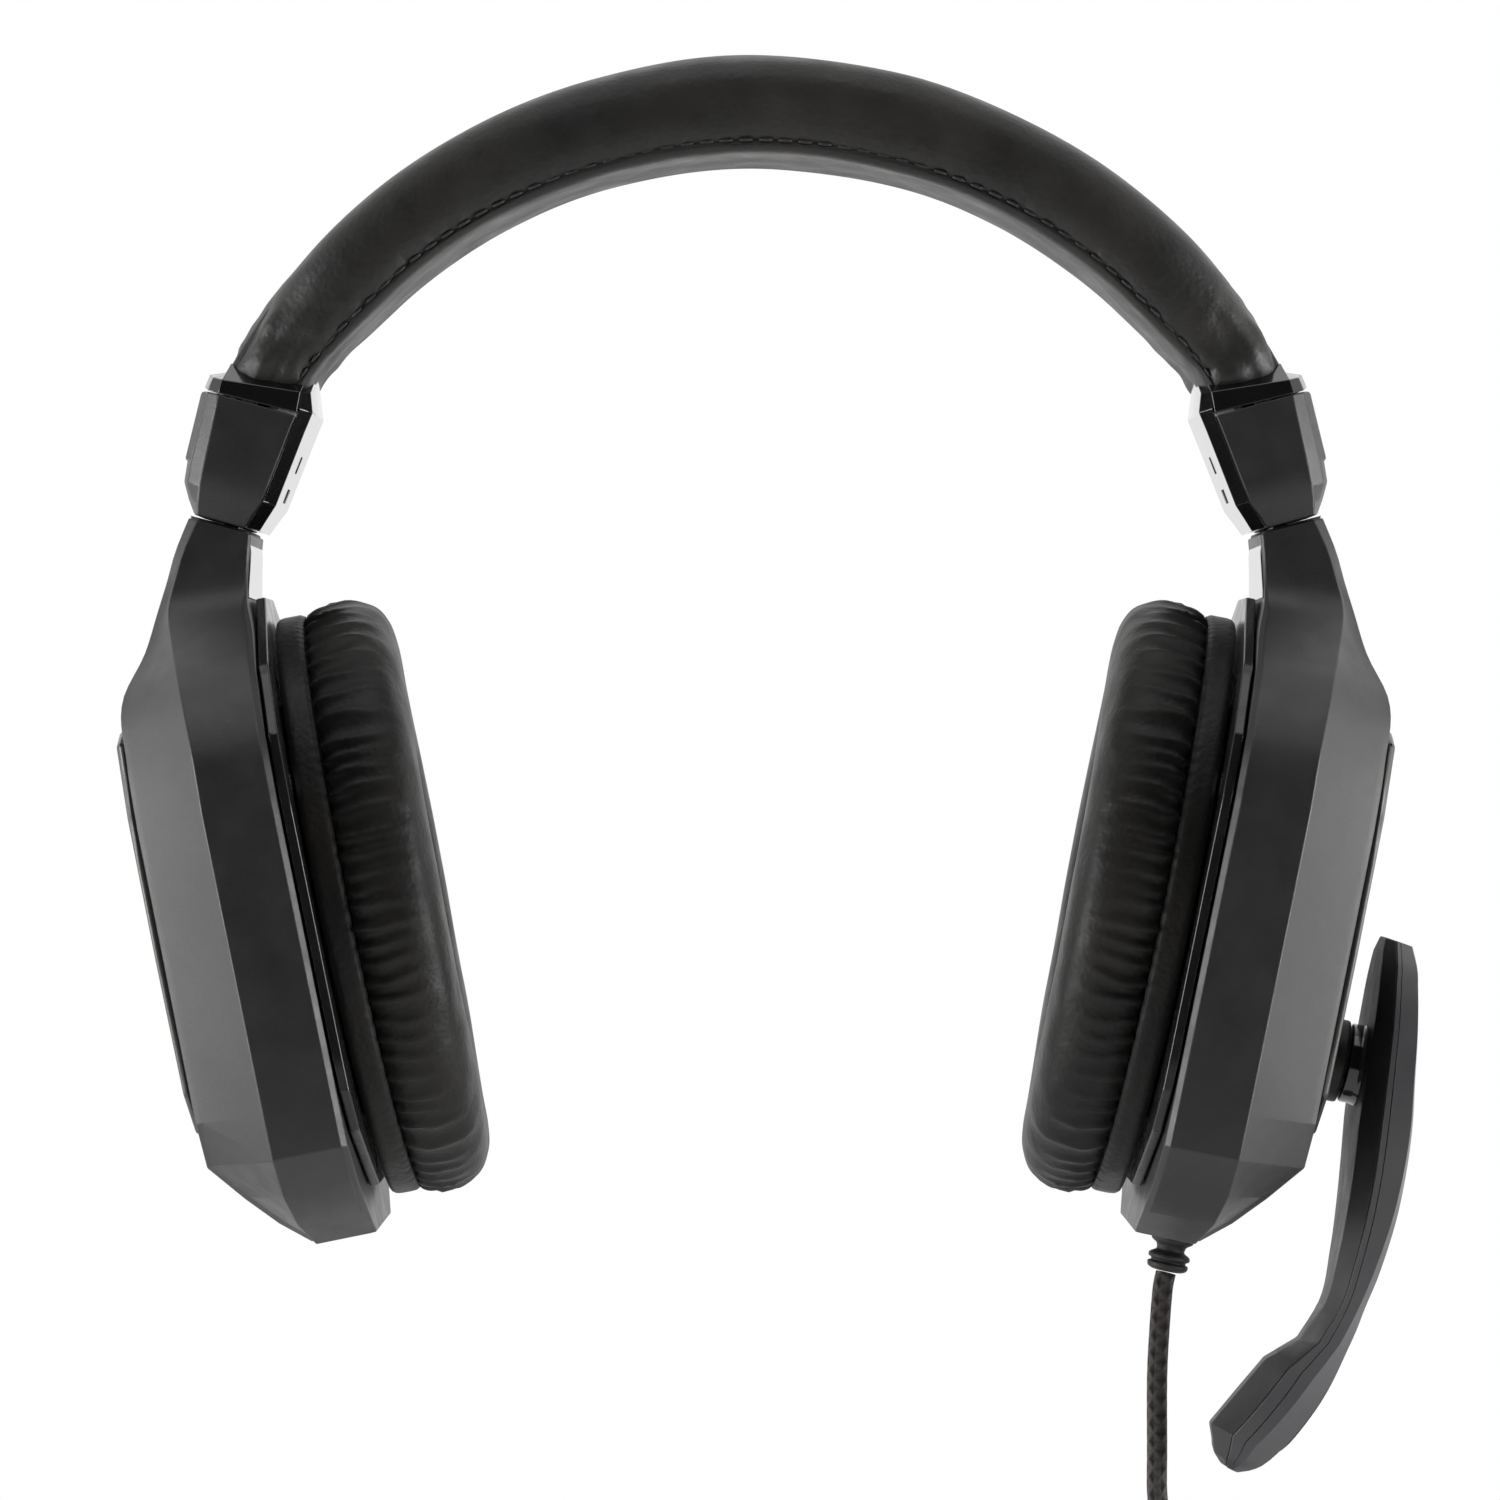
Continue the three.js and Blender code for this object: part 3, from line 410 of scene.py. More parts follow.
def braided(strands=4):
    """Two sets of strands crossing round the cord, darker in the grooves between them as painted shade. The UV's V
    counts diameters along it.
    """
    s = Surface("braid", 0.8, Sheen_Weight=0.25, Sheen_Roughness=0.45)
    split = s.node("SeparateXYZ")
    s.link(s.node("UVMap").outputs["UV"], split.inputs[0])
    around = s.math("MULTIPLY", split.outputs["X"], 2 * math.pi * strands)
    along = s.math("MULTIPLY", split.outputs["Y"], 2 * math.pi * 1.15)
    left = s.math("SINE", s.math("ADD", around, along))
    right = s.math("SINE", s.math("SUBTRACT", around, along))
    over = s.math("SINE", s.math("MULTIPLY", around, 2))
    under = s.math("MULTIPLY", left, 0.9)
    raised = s.math("MULTIPLY", over, 0.12)
    height = s.math("MAXIMUM", under, s.math("ADD", right, raised))
    # The colour follows the strands' height: painted shade in the grooves between them.
    s.coloured(height, (0.004, 0.0036, 0.0034), (0.034, 0.027, 0.024), -0.4, 1)
    s.relief(height, 0.26, 0.9)
    s.relief(s.noise(5200, 3), 0.05, 0.6)
    return s.material


def film():
    s = Surface("film", 0.3, Transmission_Weight=0.1)
    s.coloured(s.noise(120, 3), (0.42, 0.36, 0.24), (0.56, 0.5, 0.37))
    s.rough(s.noise(500, 4), 0.24, 0.4)
    s.relief(s.noise(900, 2), 0.03, 0.4)
    return s.material


def circuit_board():
    s = Surface("board", 0.35)
    tracks = s.cells(420, "DISTANCE_TO_EDGE")
    s.coloured(tracks, (0.05, 0.2, 0.09), (0.02, 0.09, 0.04), 0.02, 0.06)
    s.relief(tracks, 0.05, 0.5)
    return s.material


LEATHERETTE = leatherette("leatherette", 0.38, (0.0085, 0.008, 0.0078), (0.018, 0.0165, 0.0152))
# The cushion leatherette is the band's one made darker: painted shade on the inward-facing pads and their rings.
SHADE_DARKENED_CUSHION = leatherette("cushion_leatherette_painted_shade", 0.26, (0.0055, 0.005, 0.0047), (0.0125, 0.0112, 0.0102))
SHELL = moulded("shell", (0.0125, 0.0125, 0.0135), (0.018, 0.018, 0.019), 0.42)
BOOM = moulded("boom_plastic", (0.048, 0.048, 0.051), (0.058, 0.058, 0.061), 0.44)
DARK = moulded("dark_plastic", (0.0085, 0.0085, 0.009), (0.014, 0.014, 0.0145), 0.5)
SATIN = moulded("satin_plastic", (0.035, 0.034, 0.033), (0.045, 0.044, 0.042), 0.36, grain=0.02)
GLOSS = polished()
TRIM = moulded("trim", (0.006, 0.006, 0.0065), (0.009, 0.009, 0.0095), 0.24, grain=0.008)
RUBBER = rubbery()
STEEL = brushed()
GOLD = brushed("gold", (0.83, 0.62, 0.28), (0.72, 0.5, 0.2), 0.2)
CLOTH = woven()
WEBBING = woven("webbing", 0.7)
BRAID = braided()
FILM = film()
BOARD = circuit_board()
THREAD = rubbery("thread")


# ---- Cord ----

def tube(name, route, diameter, sides, material):
    """A round tube along a route, with UVs that count turns across it and diameters along it."""
    rings = []
    side = Vector((0, 1, 0))
    travelled = [0.0]
    for i, point in enumerate(route):
        ahead = (route[min(i + 1, len(route) - 1)] - route[max(i - 1, 0)]).normalized()
        side = (side - ahead * side.dot(ahead)).normalized()
        other = ahead.cross(side)
        angles = [2 * math.pi * k / sides for k in range(sides)]
        rings.append([point + (side * math.cos(a) + other * math.sin(a)) * diameter / 2 for a in angles])
        if i:
            travelled.append(travelled[-1] + (point - route[i - 1]).length)
    obj = piece(name, loft(rings), material)
    layer = obj.data.uv_layers.new(name="UVMap")
    for polygon in obj.data.polygons:
        is_side = len(polygon.vertices) == 4
        closes = is_side and any(vertex % sides == sides - 1 for vertex in polygon.vertices)
        for corner in polygon.loop_indices:
            ring, k = divmod(obj.data.loops[corner].vertex_index, sides)
            turn = k / sides + (1 if closes and k == 0 else 0)
            layer.data[corner].uv = (turn, travelled[ring] / diameter)
    return obj


route = cord_route()
cord = tube("cord_braid", route, CORD, 12, BRAID)
fit(cord, "earcup_left", "braid", "cord", "cord_coil", "cord_tail")


def turned(name, rows, ease, material, place, sides=48):
    """A piece turned about the X axis from (radius, x) rows, its corners eased."""
    return piece(name, loft(turned_rings(rounded(rows, ease), sides)), material, place)


def rounded(rows, radius, steps=3):
    """Rows with each corner eased by a short curve, so that a turned piece has no razor edges."""
    line = [rows[0]]
    for before, corner, after in zip(rows, rows[1:], rows[2:]):
        a, b, c = Vector(before), Vector(corner), Vector(after)
        first = b + (a - b).normalized() * min(radius, (a - b).length * 0.45)
        last = b + (c - b).normalized() * min(radius, (c - b).length * 0.45)
        for i in range(steps + 1):
            t = i / steps
            line.append(tuple(first * (1 - t) ** 2 + b * 2 * t * (1 - t) + last * t * t))
    return [*line, rows[-1]]


def pointing_down(origin):
    """A frame at origin whose X axis points down."""
    matrix = Matrix(((0, 0, 1), (0, 1, 0), (-1, 0, 0))).to_4x4()
    matrix.translation = origin
    return matrix


BUSH = [  # radius, and distance below the cup's underside
    (0.01, -1.8), (1.6, -1.8), (1.6, 0.05), (3.35, 0.05), (3.35, 1.5), (2.35, 2.1), (2.15, 3.0),
    (2.9, 3.4), (3.3, 3.7), (3.3, 4.3), (2.75, 4.45), (2.75, 4.85), (3.3, 5.0), (3.15, 5.8),
    (2.3, 6.2), (1.45, 6.2), (1.45, 5.6), (0.01, 5.6)]
JACK = [  # radius, and distance below the plug's top
    (0.01, 23.3), (2.6, 23.3), (2.6, 24.2), (1.75, 24.25), (1.75, 36.2), (1.15, 36.8), (1.15, 37.1),
    (1.68, 37.9), (1.2, 38.8), (0.5, 39.2), (0.01, 39.2)]
RIB_PITCH = 1.35


def plug_place():
    """The top of the plug, on the axis of the CAD's sleeve."""
    low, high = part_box("plug_sleeve")
    return pointing_down(Vector(((low.x + high.x) / 2, (low.y + high.y) / 2, high.z)) / MM)


def sleeve_rows():
    """A boot with four grooves, that widens towards the grip."""
    rows = [(2.0, 0.0), (2.05, 0.6)]
    for i in range(4):
        x = 1.0 + RIB_PITCH * i
        more = 0.1 * i
        rows += [(2.15 + more, x), (1.85 + more, x + 0.25), (1.85 + more, x + 0.7), (2.2 + more, x + 0.95)]
    return [(0.01, 0), *rows, (2.6, 6.7), (0.01, 6.7)]


def grip_rows():
    """A straight handle with seven grooves."""
    rows = [(3.2, 6.75), (3.9, 8.6)]
    for i in range(7):
        x = 10 + RIB_PITCH * i
        rows += [(4.0, x), (3.7, x + 0.2), (3.7, x + 0.6), (4.0, x + 0.8)]
    return [(0.01, 6.75), *rows, (4.0, 21.2), (3.6, 23.2), (0.01, 23.2)]


def cord_fittings():
    """Bush, tie and plug: the pieces on the cord."""
    bush = turned("cord_bush", BUSH, 0.3, RUBBER, CUP @ pointing_down(Vector((7.5, 0, -52))))
    fit(bush, "earcup_left", "rubber", "strain_relief")
    place = plug_place()
    sleeve = turned("plug_boot", sleeve_rows(), 0.15, RUBBER, place, 32)
    fit(sleeve, "earcup_left", "rubber", "plug_sleeve")
    grip = turned("plug_handle", grip_rows(), 0.2, DARK, place, 40)
    fit(grip, "earcup_left", "rubber", "plug_grip")
    pin = turned("jack_contact", JACK, 0.12, GOLD, place, 32)
    fit(pin, "earcup_left", "gold", "jack_pin")
    bands = []
    for i, x in enumerate((28.2, 31.0, 33.8)):
        band = [(1.70, x), (1.78, x + 0.05), (1.78, x + 0.65), (1.70, x + 0.7)]
        ring = piece(f"jack_insulator_{i + 1}", loft(turned_rings(band, 32), looped=True), DARK, place)
        bands.append(fit(ring, "earcup_left", "dark_plastic"))
    return [bush, cord_tie(), sleeve, grip, pin, *bands]


TIE_ANGLE = math.radians(34)  # where the tie sits on the coil, from its top
TIE_CORNER = 2
TIE_THICKNESS = 0.75
TIE_HALF_WIDTH = 4.4
TIE_OVERLAP = 9  # points of the section that are wrapped twice


def tie_section():
    """A rounded square round the bundle's section, in (radial, depth) pairs."""
    flat = COIL_LAYERS * CORD / 2 + 0.35 - TIE_CORNER
    corners = []
    for i, (a, b) in enumerate([(-1, -1), (1, -1), (1, 1), (-1, 1)]):
        for k in range(6):
            turn = math.radians(-135 + 90 * i + 90 * (k / 5 - 0.5))
            corners.append((a * flat + TIE_CORNER * math.cos(turn), b * flat + TIE_CORNER * math.sin(turn)))
    return corners


def cord_tie():
    """A hook-and-loop strap wrapped once and a bit more round the bundle."""
    along = Vector((math.cos(TIE_ANGLE), 0, -math.sin(TIE_ANGLE)))
    outward = Vector((math.sin(TIE_ANGLE), 0, math.cos(TIE_ANGLE)))
    corners = tie_section()
    rings = []
    for i, (radial, depth) in enumerate([*corners, *corners[:TIE_OVERLAP]]):
        lift = TIE_THICKNESS * smoothstep(i, len(corners) - 5, len(corners) + 1)
        out = Vector((radial, depth)).normalized()
        ring = []
        for thick, across in ((0, -1), (0, 1), (TIE_THICKNESS, 1), (TIE_THICKNESS, -1)):
            r = COIL_OUTER - 1.5 * CORD + radial + out.x * (thick + lift)
            y = depth + out.y * (thick + lift)
            ring.append(COIL_CENTRE + outward * r + Vector((0, y, 0)) + along * (across * TIE_HALF_WIDTH))
        rings.append(ring)
    strap = bevelled(piece("cord_strap", loft(rings), WEBBING), 0.15, 2, 40)
    return fit(strap, "earcup_left", "cloth", "cord_tie")


cord_fittings()


# ---- Shapes shared by the rigid pieces ----

def spline(keys, rows, at, sharp=()):
    """A smooth curve through rows at rising keys, with corners at the sharp keys."""
    slopes = [(b - a) / (kb - ka) for a, b, ka, kb in zip(rows, rows[1:], keys, keys[1:])]
    i = min(len(slopes) - 1, max(0, sum(key <= at for key in keys) - 1))
    width = keys[i + 1] - keys[i]

    def slope(k, own):
        if k in (0, len(keys) - 1) or keys[k] in sharp:
            return slopes[own]
        before, after = keys[k] - keys[k - 1], keys[k + 1] - keys[k]
        return (slopes[k - 1] * after + slopes[k] * before) / (before + after)

    t = (at - keys[i]) / width
    return (rows[i] * (2 * t ** 3 - 3 * t * t + 1) + slope(i, i) * (width * (t ** 3 - 2 * t * t + t))
            + rows[i + 1] * (3 * t * t - 2 * t ** 3) + slope(i + 1, i) * (width * (t ** 3 - t * t)))


def finer(keys, step):
    """The keys, with more between them no further apart than a step."""
    values = []
    for a, b in zip(keys, keys[1:]):
        count = max(1, math.ceil((b - a) / step))
        values += [a + (b - a) * i / count for i in range(count)]
    return [*values, keys[-1]]


def at_height(ring, z):
    return [Vector((x, y, z)) for x, y in ring]


def oval_point(size, grown, angle):
    return (size[0] + grown) * math.cos(angle), PAD_HEIGHT + (size[1] + grown) * math.sin(angle)


def full_outline(half):
    return [*half, *((-y, z) for y, z in reversed(half))]


def plate(name, outline, low, high, material, place, edge, hole=None):
    """A plate across the X axis with an optional oval hole, its edges rounded."""
    line = []
    closed = [*outline, outline[0]]
    for a, b in zip(closed, closed[1:]):
        a, b = Vector(a), Vector(b)
        count = max(1, round((b - a).length / (2 if hole else 8)))
        line += [a + (b - a) * i / count for i in range(count)]
    outer = [[Vector((x, p.x, p.y)) for p in line] for x in (low, high)]
    if not hole:
        return bevelled(piece(name, loft(outer), material, place), edge)
    angles = [math.atan2(p.y - PAD_HEIGHT, p.x) for p in line]
    inner = [[Vector((x, *oval_point(hole, 0, a))) for a in angles] for x in (high, low)]
    return bevelled(piece(name, loft([*outer, *inner], looped=True), material, place), edge)


# ---- Headband padding ----

BAND_SECTION = [  # across, up from the underside
    (0, 0.1), (5, 0.1), (10, 0.15), (13.2, 0.25), (14.5, 0.75), (14.85, 1.45), (14.55, 1.95), (15.1, 2.6),
    (15.75, 4.2), (16, 6.4), (15.9, 8.6), (15.2, 10.9), (13.6, 12.8), (11, 14.0), (6.5, 14.75), (0, 15.0)]
SEAM_ROW = 6  # the section's point at the bottom of the seam
CROWN_SAG = 1.2  # the padding hangs lower under the crown


def band_point(degrees, across, up):
    """A point of the padding: it narrows where it goes into its two collars."""
    narrow = smoothstep(abs(degrees), 45, 60.5)
    tuck = smoothstep(abs(degrees), 58.6, 61.4)
    up -= CROWN_SAG * (1 - smoothstep(abs(degrees), 12, 48)) * (1 - smoothstep(up, 0.5, 7))
    across *= 1 - 0.155 * narrow - 0.05 * tuck
    up = BAND_THICKNESS / 2 + (up - BAND_THICKNESS / 2) * (1 - 0.14 * narrow - 0.08 * tuck) + 0.7 * narrow
    angle = math.radians(degrees)
    radius = CROWN_RADIUS + up
    return Vector((radius * math.sin(angle), across, radius * math.cos(angle) - CROWN_RADIUS))


def band_relief(degrees, along, across, up):
    """How far the leatherette stands out: soft swelling, puckers at the seam, folds near the collars."""
    near_seam = math.exp(-max(0, up - 1.9) / 2.6) * (abs(across) > 9) * (up > 1.9)
    pucker = noise.noise(Vector((along * 0.42, across * 0.05, 3.1))) * 0.5
    pucker += noise.noise(Vector((along * 1.1, 0, 8.2))) * 0.25
    swell = noise.noise(Vector((along * 0.045, across * 0.09, up * 0.12))) * 0.4
    end = smoothstep(abs(degrees), 47, 60)
    fold = noise.noise(Vector((along * 0.16, across * 0.1 + up * 0.28, 21))) * 1.0
    crease = noise.noise(Vector((along * 0.4 + up * 0.2, across * 0.16, 5.5))) * 0.4
    return pucker * near_seam * (0.55 + end) + swell + (fold + crease) * end


def headband():
    half = catmull([Vector(p) for p in BAND_SECTION], 4)
    ring = [(p.x, p.y) for p in half] + [(-p.x, p.y) for p in reversed(half[1:-1])]
    rings = []
    count = 300
    for i in range(count + 1):
        degrees = BAND_SWEEP * (2 * i / count - 1)
        along = math.radians(degrees) * (CROWN_RADIUS + 8)
        row = []
        for k, (across, up) in enumerate(ring):
            ahead = ring[(k + 1) % len(ring)]
            behind = ring[k - 1]
            out = Vector((ahead[1] - behind[1], behind[0] - ahead[0])).normalized()
            lift = band_relief(degrees, along, across, up) * smoothstep(BAND_SWEEP - abs(degrees), 0, 2)
            row.append(band_point(degrees, across + out.x * lift, up + out.y * lift))
        rings.append(row)
    cover = piece("headband_padding", loft(rings), LEATHERETTE)
    fit(cover, "headband", "leatherette", "headband_cover")


def stitches(name, seat, count, length, radius, material):
    """A row of stitches. seat(i, share) gives the centre line and the outward direction of stitch i."""
    points, faces = [], []
    angles = [2 * math.pi * k / 6 for k in range(6)]
    rows = ((-1, 0.35), (-0.8, 0.85), (-0.3, 1), (0.3, 1), (0.8, 0.85), (1, 0.35))
    for i in range(count):
        rings = []
        for along, size in rows:
            centre, ahead, out = seat(i, along * length / 2)
            centre = centre - out * radius * 0.7 * along * along
            third = ahead.cross(out)
            rings.append([centre + (out * math.cos(a) + third * math.sin(a)) * radius * size for a in angles])
        shape = loft(rings)
        start = len(points)
        points += shape[0]
        faces += [tuple(start + v for v in face) for face in shape[1]]
    return piece(name, (points, faces), material)


def headband_stitches():
    pitch = 3.1
    step = math.degrees(pitch / (CROWN_RADIUS + 2))
    per_side = int(2 * 58.5 / step)

    def seat(i, offset):
        side = 1 if i < per_side else -1
        across, up = BAND_SECTION[SEAM_ROW]
        middle = (i % per_side - (per_side - 1) / 2) * step
        degrees = middle + math.degrees(offset / (CROWN_RADIUS + 2))
        here = band_point(degrees, side * (across + 0.16), up)
        after = band_point(degrees + 0.1, side * across, up)
        before = band_point(degrees - 0.1, side * across, up)
        return here, (after - before).normalized(), Vector((0, side, 0))

    fit(stitches("headband_stitching", seat, 2 * per_side, 2.2, 0.3, THREAD), "headband", "cloth")


headband()
headband_stitches()


# ---- Ear pads ----

# Distance grown from the bore, then X: from the hidden back, round the bore, over the face to the seam.
PAD_SECTION = [
    (9, -7.0), (4, -7.2), (0.7, -8.2), (0, -10.8), (0.2, -14.6), (1.5, -17.3), (4.2, -18.3),
    (8, PAD_FACE), (11.8, -18.4), (15.2, -17.7), (18, -16), (19.5, -13.2), (19.3, -10.2),
    (18.4, -8), (17, -7.1), (14, -7.0)]
PAD_SEAM = Vector((17.4, -7.1))
PAD_TURNS = 480  # sections round the cushion
PAD_LEAN = 0.016  # the face swells this much per millimetre up
PAD_WEDGE = 2.4  # and this much more at the wearer's front than at the back


def fold_plan():
    """Where the gathers lie round the pad: their borders in degrees, and how deep and long each one is."""
    borders, sizes = [0.0], []
    k = 0
    while borders[-1] < 360:
        angle = math.radians(borders[-1])
        loose = math.cos(angle) ** 2
        chance = noise.noise(Vector((k * 7.31, 2.7, 0.4)))
        other = noise.noise(Vector((k * 3.77, 9.1, 5.2)))
        borders.append(borders[-1] + (6.2 - 2.6 * loose) * (1 + 0.7 * chance))
        sizes.append((1.35 + 1.0 * other, 9.2 * (1 + 0.8 * chance)))
        k += 1
    scale = 360 / borders[-1]
    return [b * scale for b in borders], sizes


FOLD_BORDERS, FOLD_SIZES = fold_plan()


def gather(degrees, depth, row_noise):
    """Height of the gathers at an angle and a distance from the outer seam."""
    degrees = (degrees + 1.6 * row_noise * smoothstep(depth, 0.5, 5)) % 360
    k = max(0, sum(border <= degrees for border in FOLD_BORDERS) - 1)
    k = min(k, len(FOLD_SIZES) - 1)
    share = (degrees - FOLD_BORDERS[k]) / (FOLD_BORDERS[k + 1] - FOLD_BORDERS[k])
    deep, long = FOLD_SIZES[k]
    before = FOLD_SIZES[k - 1]
    after = FOLD_SIZES[(k + 1) % len(FOLD_SIZES)]
    edge = before if share < 0.5 else after
    mixed = abs(share - 0.5)
    deep += (edge[0] - deep) * mixed
    long += (edge[1] - long) * mixed
    fade = max(0, 1 - depth / long)
    puff = abs(math.sin(math.pi * share)) ** 0.62
    return deep * (puff - 0.85) * fade ** 0.9 * smoothstep(depth, -0.6, 1.0)


def ear_pad():
    """The cushion: one closed skin, gathered along its outer seam."""
    corners = [Vector(p) for p in PAD_SECTION]
    line = catmull([*corners, corners[0]], 5)[:-1]
    travelled = [0.0]
    for a, b in zip(line, line[1:]):
        travelled.append(travelled[-1] + (b - a).length)
    seam = min(range(len(line)), key=lambda k: (line[k] - PAD_SEAM).length)
    rings = []
    for i in range(PAD_TURNS):
        degrees = 360 * i / PAD_TURNS
        angle = math.radians(degrees)
        row = []
        for k, point in enumerate(line):
            before, after = line[k - 1], line[(k + 1) % len(line)]
            out = -Vector((after.y - before.y, before.x - after.x)).normalized()
            y, z = oval_point(PAD_BORE, point.x, angle)
            place = Vector((y, z, point.y))
            lift = 0.22 * noise.noise(place * 0.06)
            depth = travelled[seam] - travelled[k]
            if 0 <= depth < 16:
                lift += gather(degrees, depth, noise.noise(Vector((y * 0.16, z * 0.16, depth * 0.22))))
            if 5 < depth < 17:
                crease = noise.noise(Vector((y * 0.2, z * 0.2, point.y * 0.25)))
                lift += 0.25 * crease * math.sin(math.pi * (depth - 5) / 12)
            y, z = oval_point(PAD_BORE, point.x + out.x * lift, angle)
            lean = (PAD_LEAN * (z - 2) + PAD_WEDGE * smoothstep(-y, -40, 40)) * smoothstep(-point.y, 8, 17)
            row.append(Vector((point.y + out.y * lift - lean, y, z)))
        rings.append(row)
    pad = piece("ear_cushion_left", loft(rings, looped=True), SHADE_DARKENED_CUSHION, CUP)
    for each in fit_both(pad, "earcup", "leatherette", "ear_pad"):
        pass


RING_SIZE = (38, 45.4)  # half width and half height
RING_TURNS = 680


def pad_ring():
    """The covered ring that the cushion is sewn to, with a soft rolled edge."""
    section = [(-9, -2.5), (-0.9, -2.45), (0.2, -2.7), (0.55, -3.4), (0.6, -4.6), (0.55, -5.9), (0.15, -6.65),
               (-0.8, -6.95), (-9, -6.9)]
    line = catmull([Vector(p) for p in section], 3)
    rings = []
    for i in range(RING_TURNS):
        angle = 2 * math.pi * i / RING_TURNS
        scallop = 0.13 * abs(math.sin(angle * 68)) + 0.12 * noise.noise(Vector((angle * 22, 3, 1)))
        row = []
        for point in line:
            pucker = scallop * smoothstep(-point.y, 5.4, 6.6)
            swell = 0.2 * noise.noise(Vector((angle * 3, point.y * 0.2, 7)))
            y, z = oval_point(RING_SIZE, point.x + pucker + swell, angle)
            row.append(Vector((point.y, y, z)))
        rings.append(row)
    ring = piece("cushion_ring_left", loft(rings, looped=True), SHADE_DARKENED_CUSHION, CUP)
    fit_both(ring, "earcup", "leatherette", "pad_ring")


def speaker_cover():
    """The cloth over the driver, pulled slightly hollow inside the cushion."""
    rings = []
    for share in (1.0, 0.97, 0.9, 0.8, 0.65, 0.5, 0.35, 0.2, 0.08):
        row = []
        for i in range(96):
            angle = 2 * math.pi * i / 96
            y, z = 19.6 * share * math.cos(angle), PAD_HEIGHT + 26.6 * share * math.sin(angle)
            sag = 0.12 * noise.noise(Vector((y * 0.15, z * 0.15, 2)))
            row.append(Vector((-7.85 + 0.5 * (1 - share * share) + sag * (share < 0.95), y, z)))
        rings.append(row)
    back = [[p + Vector((0.35, 0, 0)) for p in ring] for ring in reversed(rings)]
    cover = piece("speaker_fabric_left", loft([*back, *rings]), CLOTH, CUP)
    fit_both(cover, "earcup", "cloth", "speaker_cloth")


ear_pad()
pad_ring()
speaker_cover()


# ---- Cup shells, trim and badge ----

SHELL_ROWS = [  # inner x, inner z, outer x, outer z, side wall's end, half depth, outer face's half depth
    (0, -52, 10.8, -52, 9.5, 20, 11), (0, -48, 14.9, -48, 11, 28.5, 15), (0, -43, 18.9, -43, 11.5, 37, 19.5),
    (0, -37, 23.2, -37, 11.5, 43.2, 24), (0, -30, 23.2, -30, 11.5, 44, 28), (0, 16, 23, 16, 11.5, 44, 28),
    (0, 26, 22.8, 26, 11.4, 41.5, 25.5), (0, 36.5, 21.7, 36.5, 12, 32.5, 20),
    (0, 42.5, 17.6, 42.5, 12.6, 23, 15.5), (0.4, 47.6, 14.7, 48.4, 12.7, 15.5, 12.6),
    (-0.5, 52, 12.3, 53, 10.9, 13.4, 11.6), (-1.4, 55.5, 9.7, 58, 8.3, 12.8, 11.4),
    (-2, 57.4, 7.1, 61.9, 5.7, 12.6, 11.2)]
SHELL_CORNERS = (-52, -48, -43, -37, -30, 16)


def shell_ring(row):
    """The shell's outline at a row, with its inner chamfer, its side wall and its outer bevel."""
    inner_x, inner_z, outer_x, outer_z, side, deep, flat = row
    slope = (outer_z - inner_z) / (outer_x - inner_x)
    chamfer = 0.5 + 0.5 * smoothstep(-inner_z, -49, -44)
    half = [(inner_x, deep - chamfer * 0.8), (inner_x + chamfer, deep), (side, deep),
            (outer_x - 1.2, flat + 1.2), (outer_x, flat)]
    return [Vector((x, y, inner_z + slope * (x - inner_x))) for x, y in both_sides(half)]


def cup_shell():
    keys = [row[1] for row in SHELL_ROWS]
    rows = [Vector(row) for row in SHELL_ROWS]
    levels = [*keys[:5], *finer(keys[4:6], 12)[1:], *finer(keys[5:], 1.6)[1:]]
    rings = [shell_ring(spline(keys, rows, level, SHELL_CORNERS)) for level in levels]
    shell = bevelled(piece("cup_housing_left", loft(rings), SHELL, CUP), 0.7, 3, 22)
    fit_both(shell, "earcup", "shell", "cup_shell")


TRIM_OUTLINE = [
    (19, -45), (38, -35.2), (42.6, -29), (43.2, -24), (43.2, 16), (40.6, 26), (31.6, 36.3),
    (19, 42.3), (8, 47.6)]
TRIM_HOLE = (33.6, 40)  # half width and half height
BADGE_OUTLINE = [(17, -32), (24.5, -25.5), (25.5, -4), (24, 18), (18.5, 29.5), (10, 31.4)]
INLAY_OUTLINE = [(12, 5), (18.4, 9), (17, 21.5), (12.5, 28), (7, 29.2)]


def cup_plates():
    """The trim plate on the head's side, and the badge with its inlay on the outer face."""
    outside = CUP @ Matrix.Translation((BADGE_FACE, 0, 0))
    trim = plate("cup_trim_left", full_outline(TRIM_OUTLINE), -1.9, -0.3, TRIM, CUP, 0.35, TRIM_HOLE)
    fit_both(trim, "earcup", "gloss_trim", "trim_plate")
    badge = plate("badge_panel_left", full_outline(BADGE_OUTLINE), 0.3, 1.7, SATIN, outside, 0.7)
    fit_both(badge, "earcup", "shell", "badge_plate")
    inlay = plate("badge_inlay_gloss_left", full_outline(INLAY_OUTLINE), 1.6, 2.15, GLOSS, outside, 0.45)
    fit_both(inlay, "earcup", "gloss_trim", "badge_inlay")


def arm_panel():
    """The glossy strip let into the arm's inner face, above the trim plate."""
    keys = [row[1] for row in SHELL_ROWS]
    rows = [Vector(row) for row in SHELL_ROWS]
    rings = []
    for key, out in ((47.7, 0), (49, 0), (52, 0), (54.6, 0), (56.4, -0.35)):
        row = spline(keys, rows, key)
        half = row[5] - 0.9
        rings.append(at_height(both_sides([(row[0] - 0.22 - out, half - 0.2), (row[0] + 0.5, half)]), key))
    strip = bevelled(piece("arm_strip_left", loft(rings), GLOSS, CUP), 0.15, 2, 20)
    fit_both(strip, "earcup", "gloss_trim")


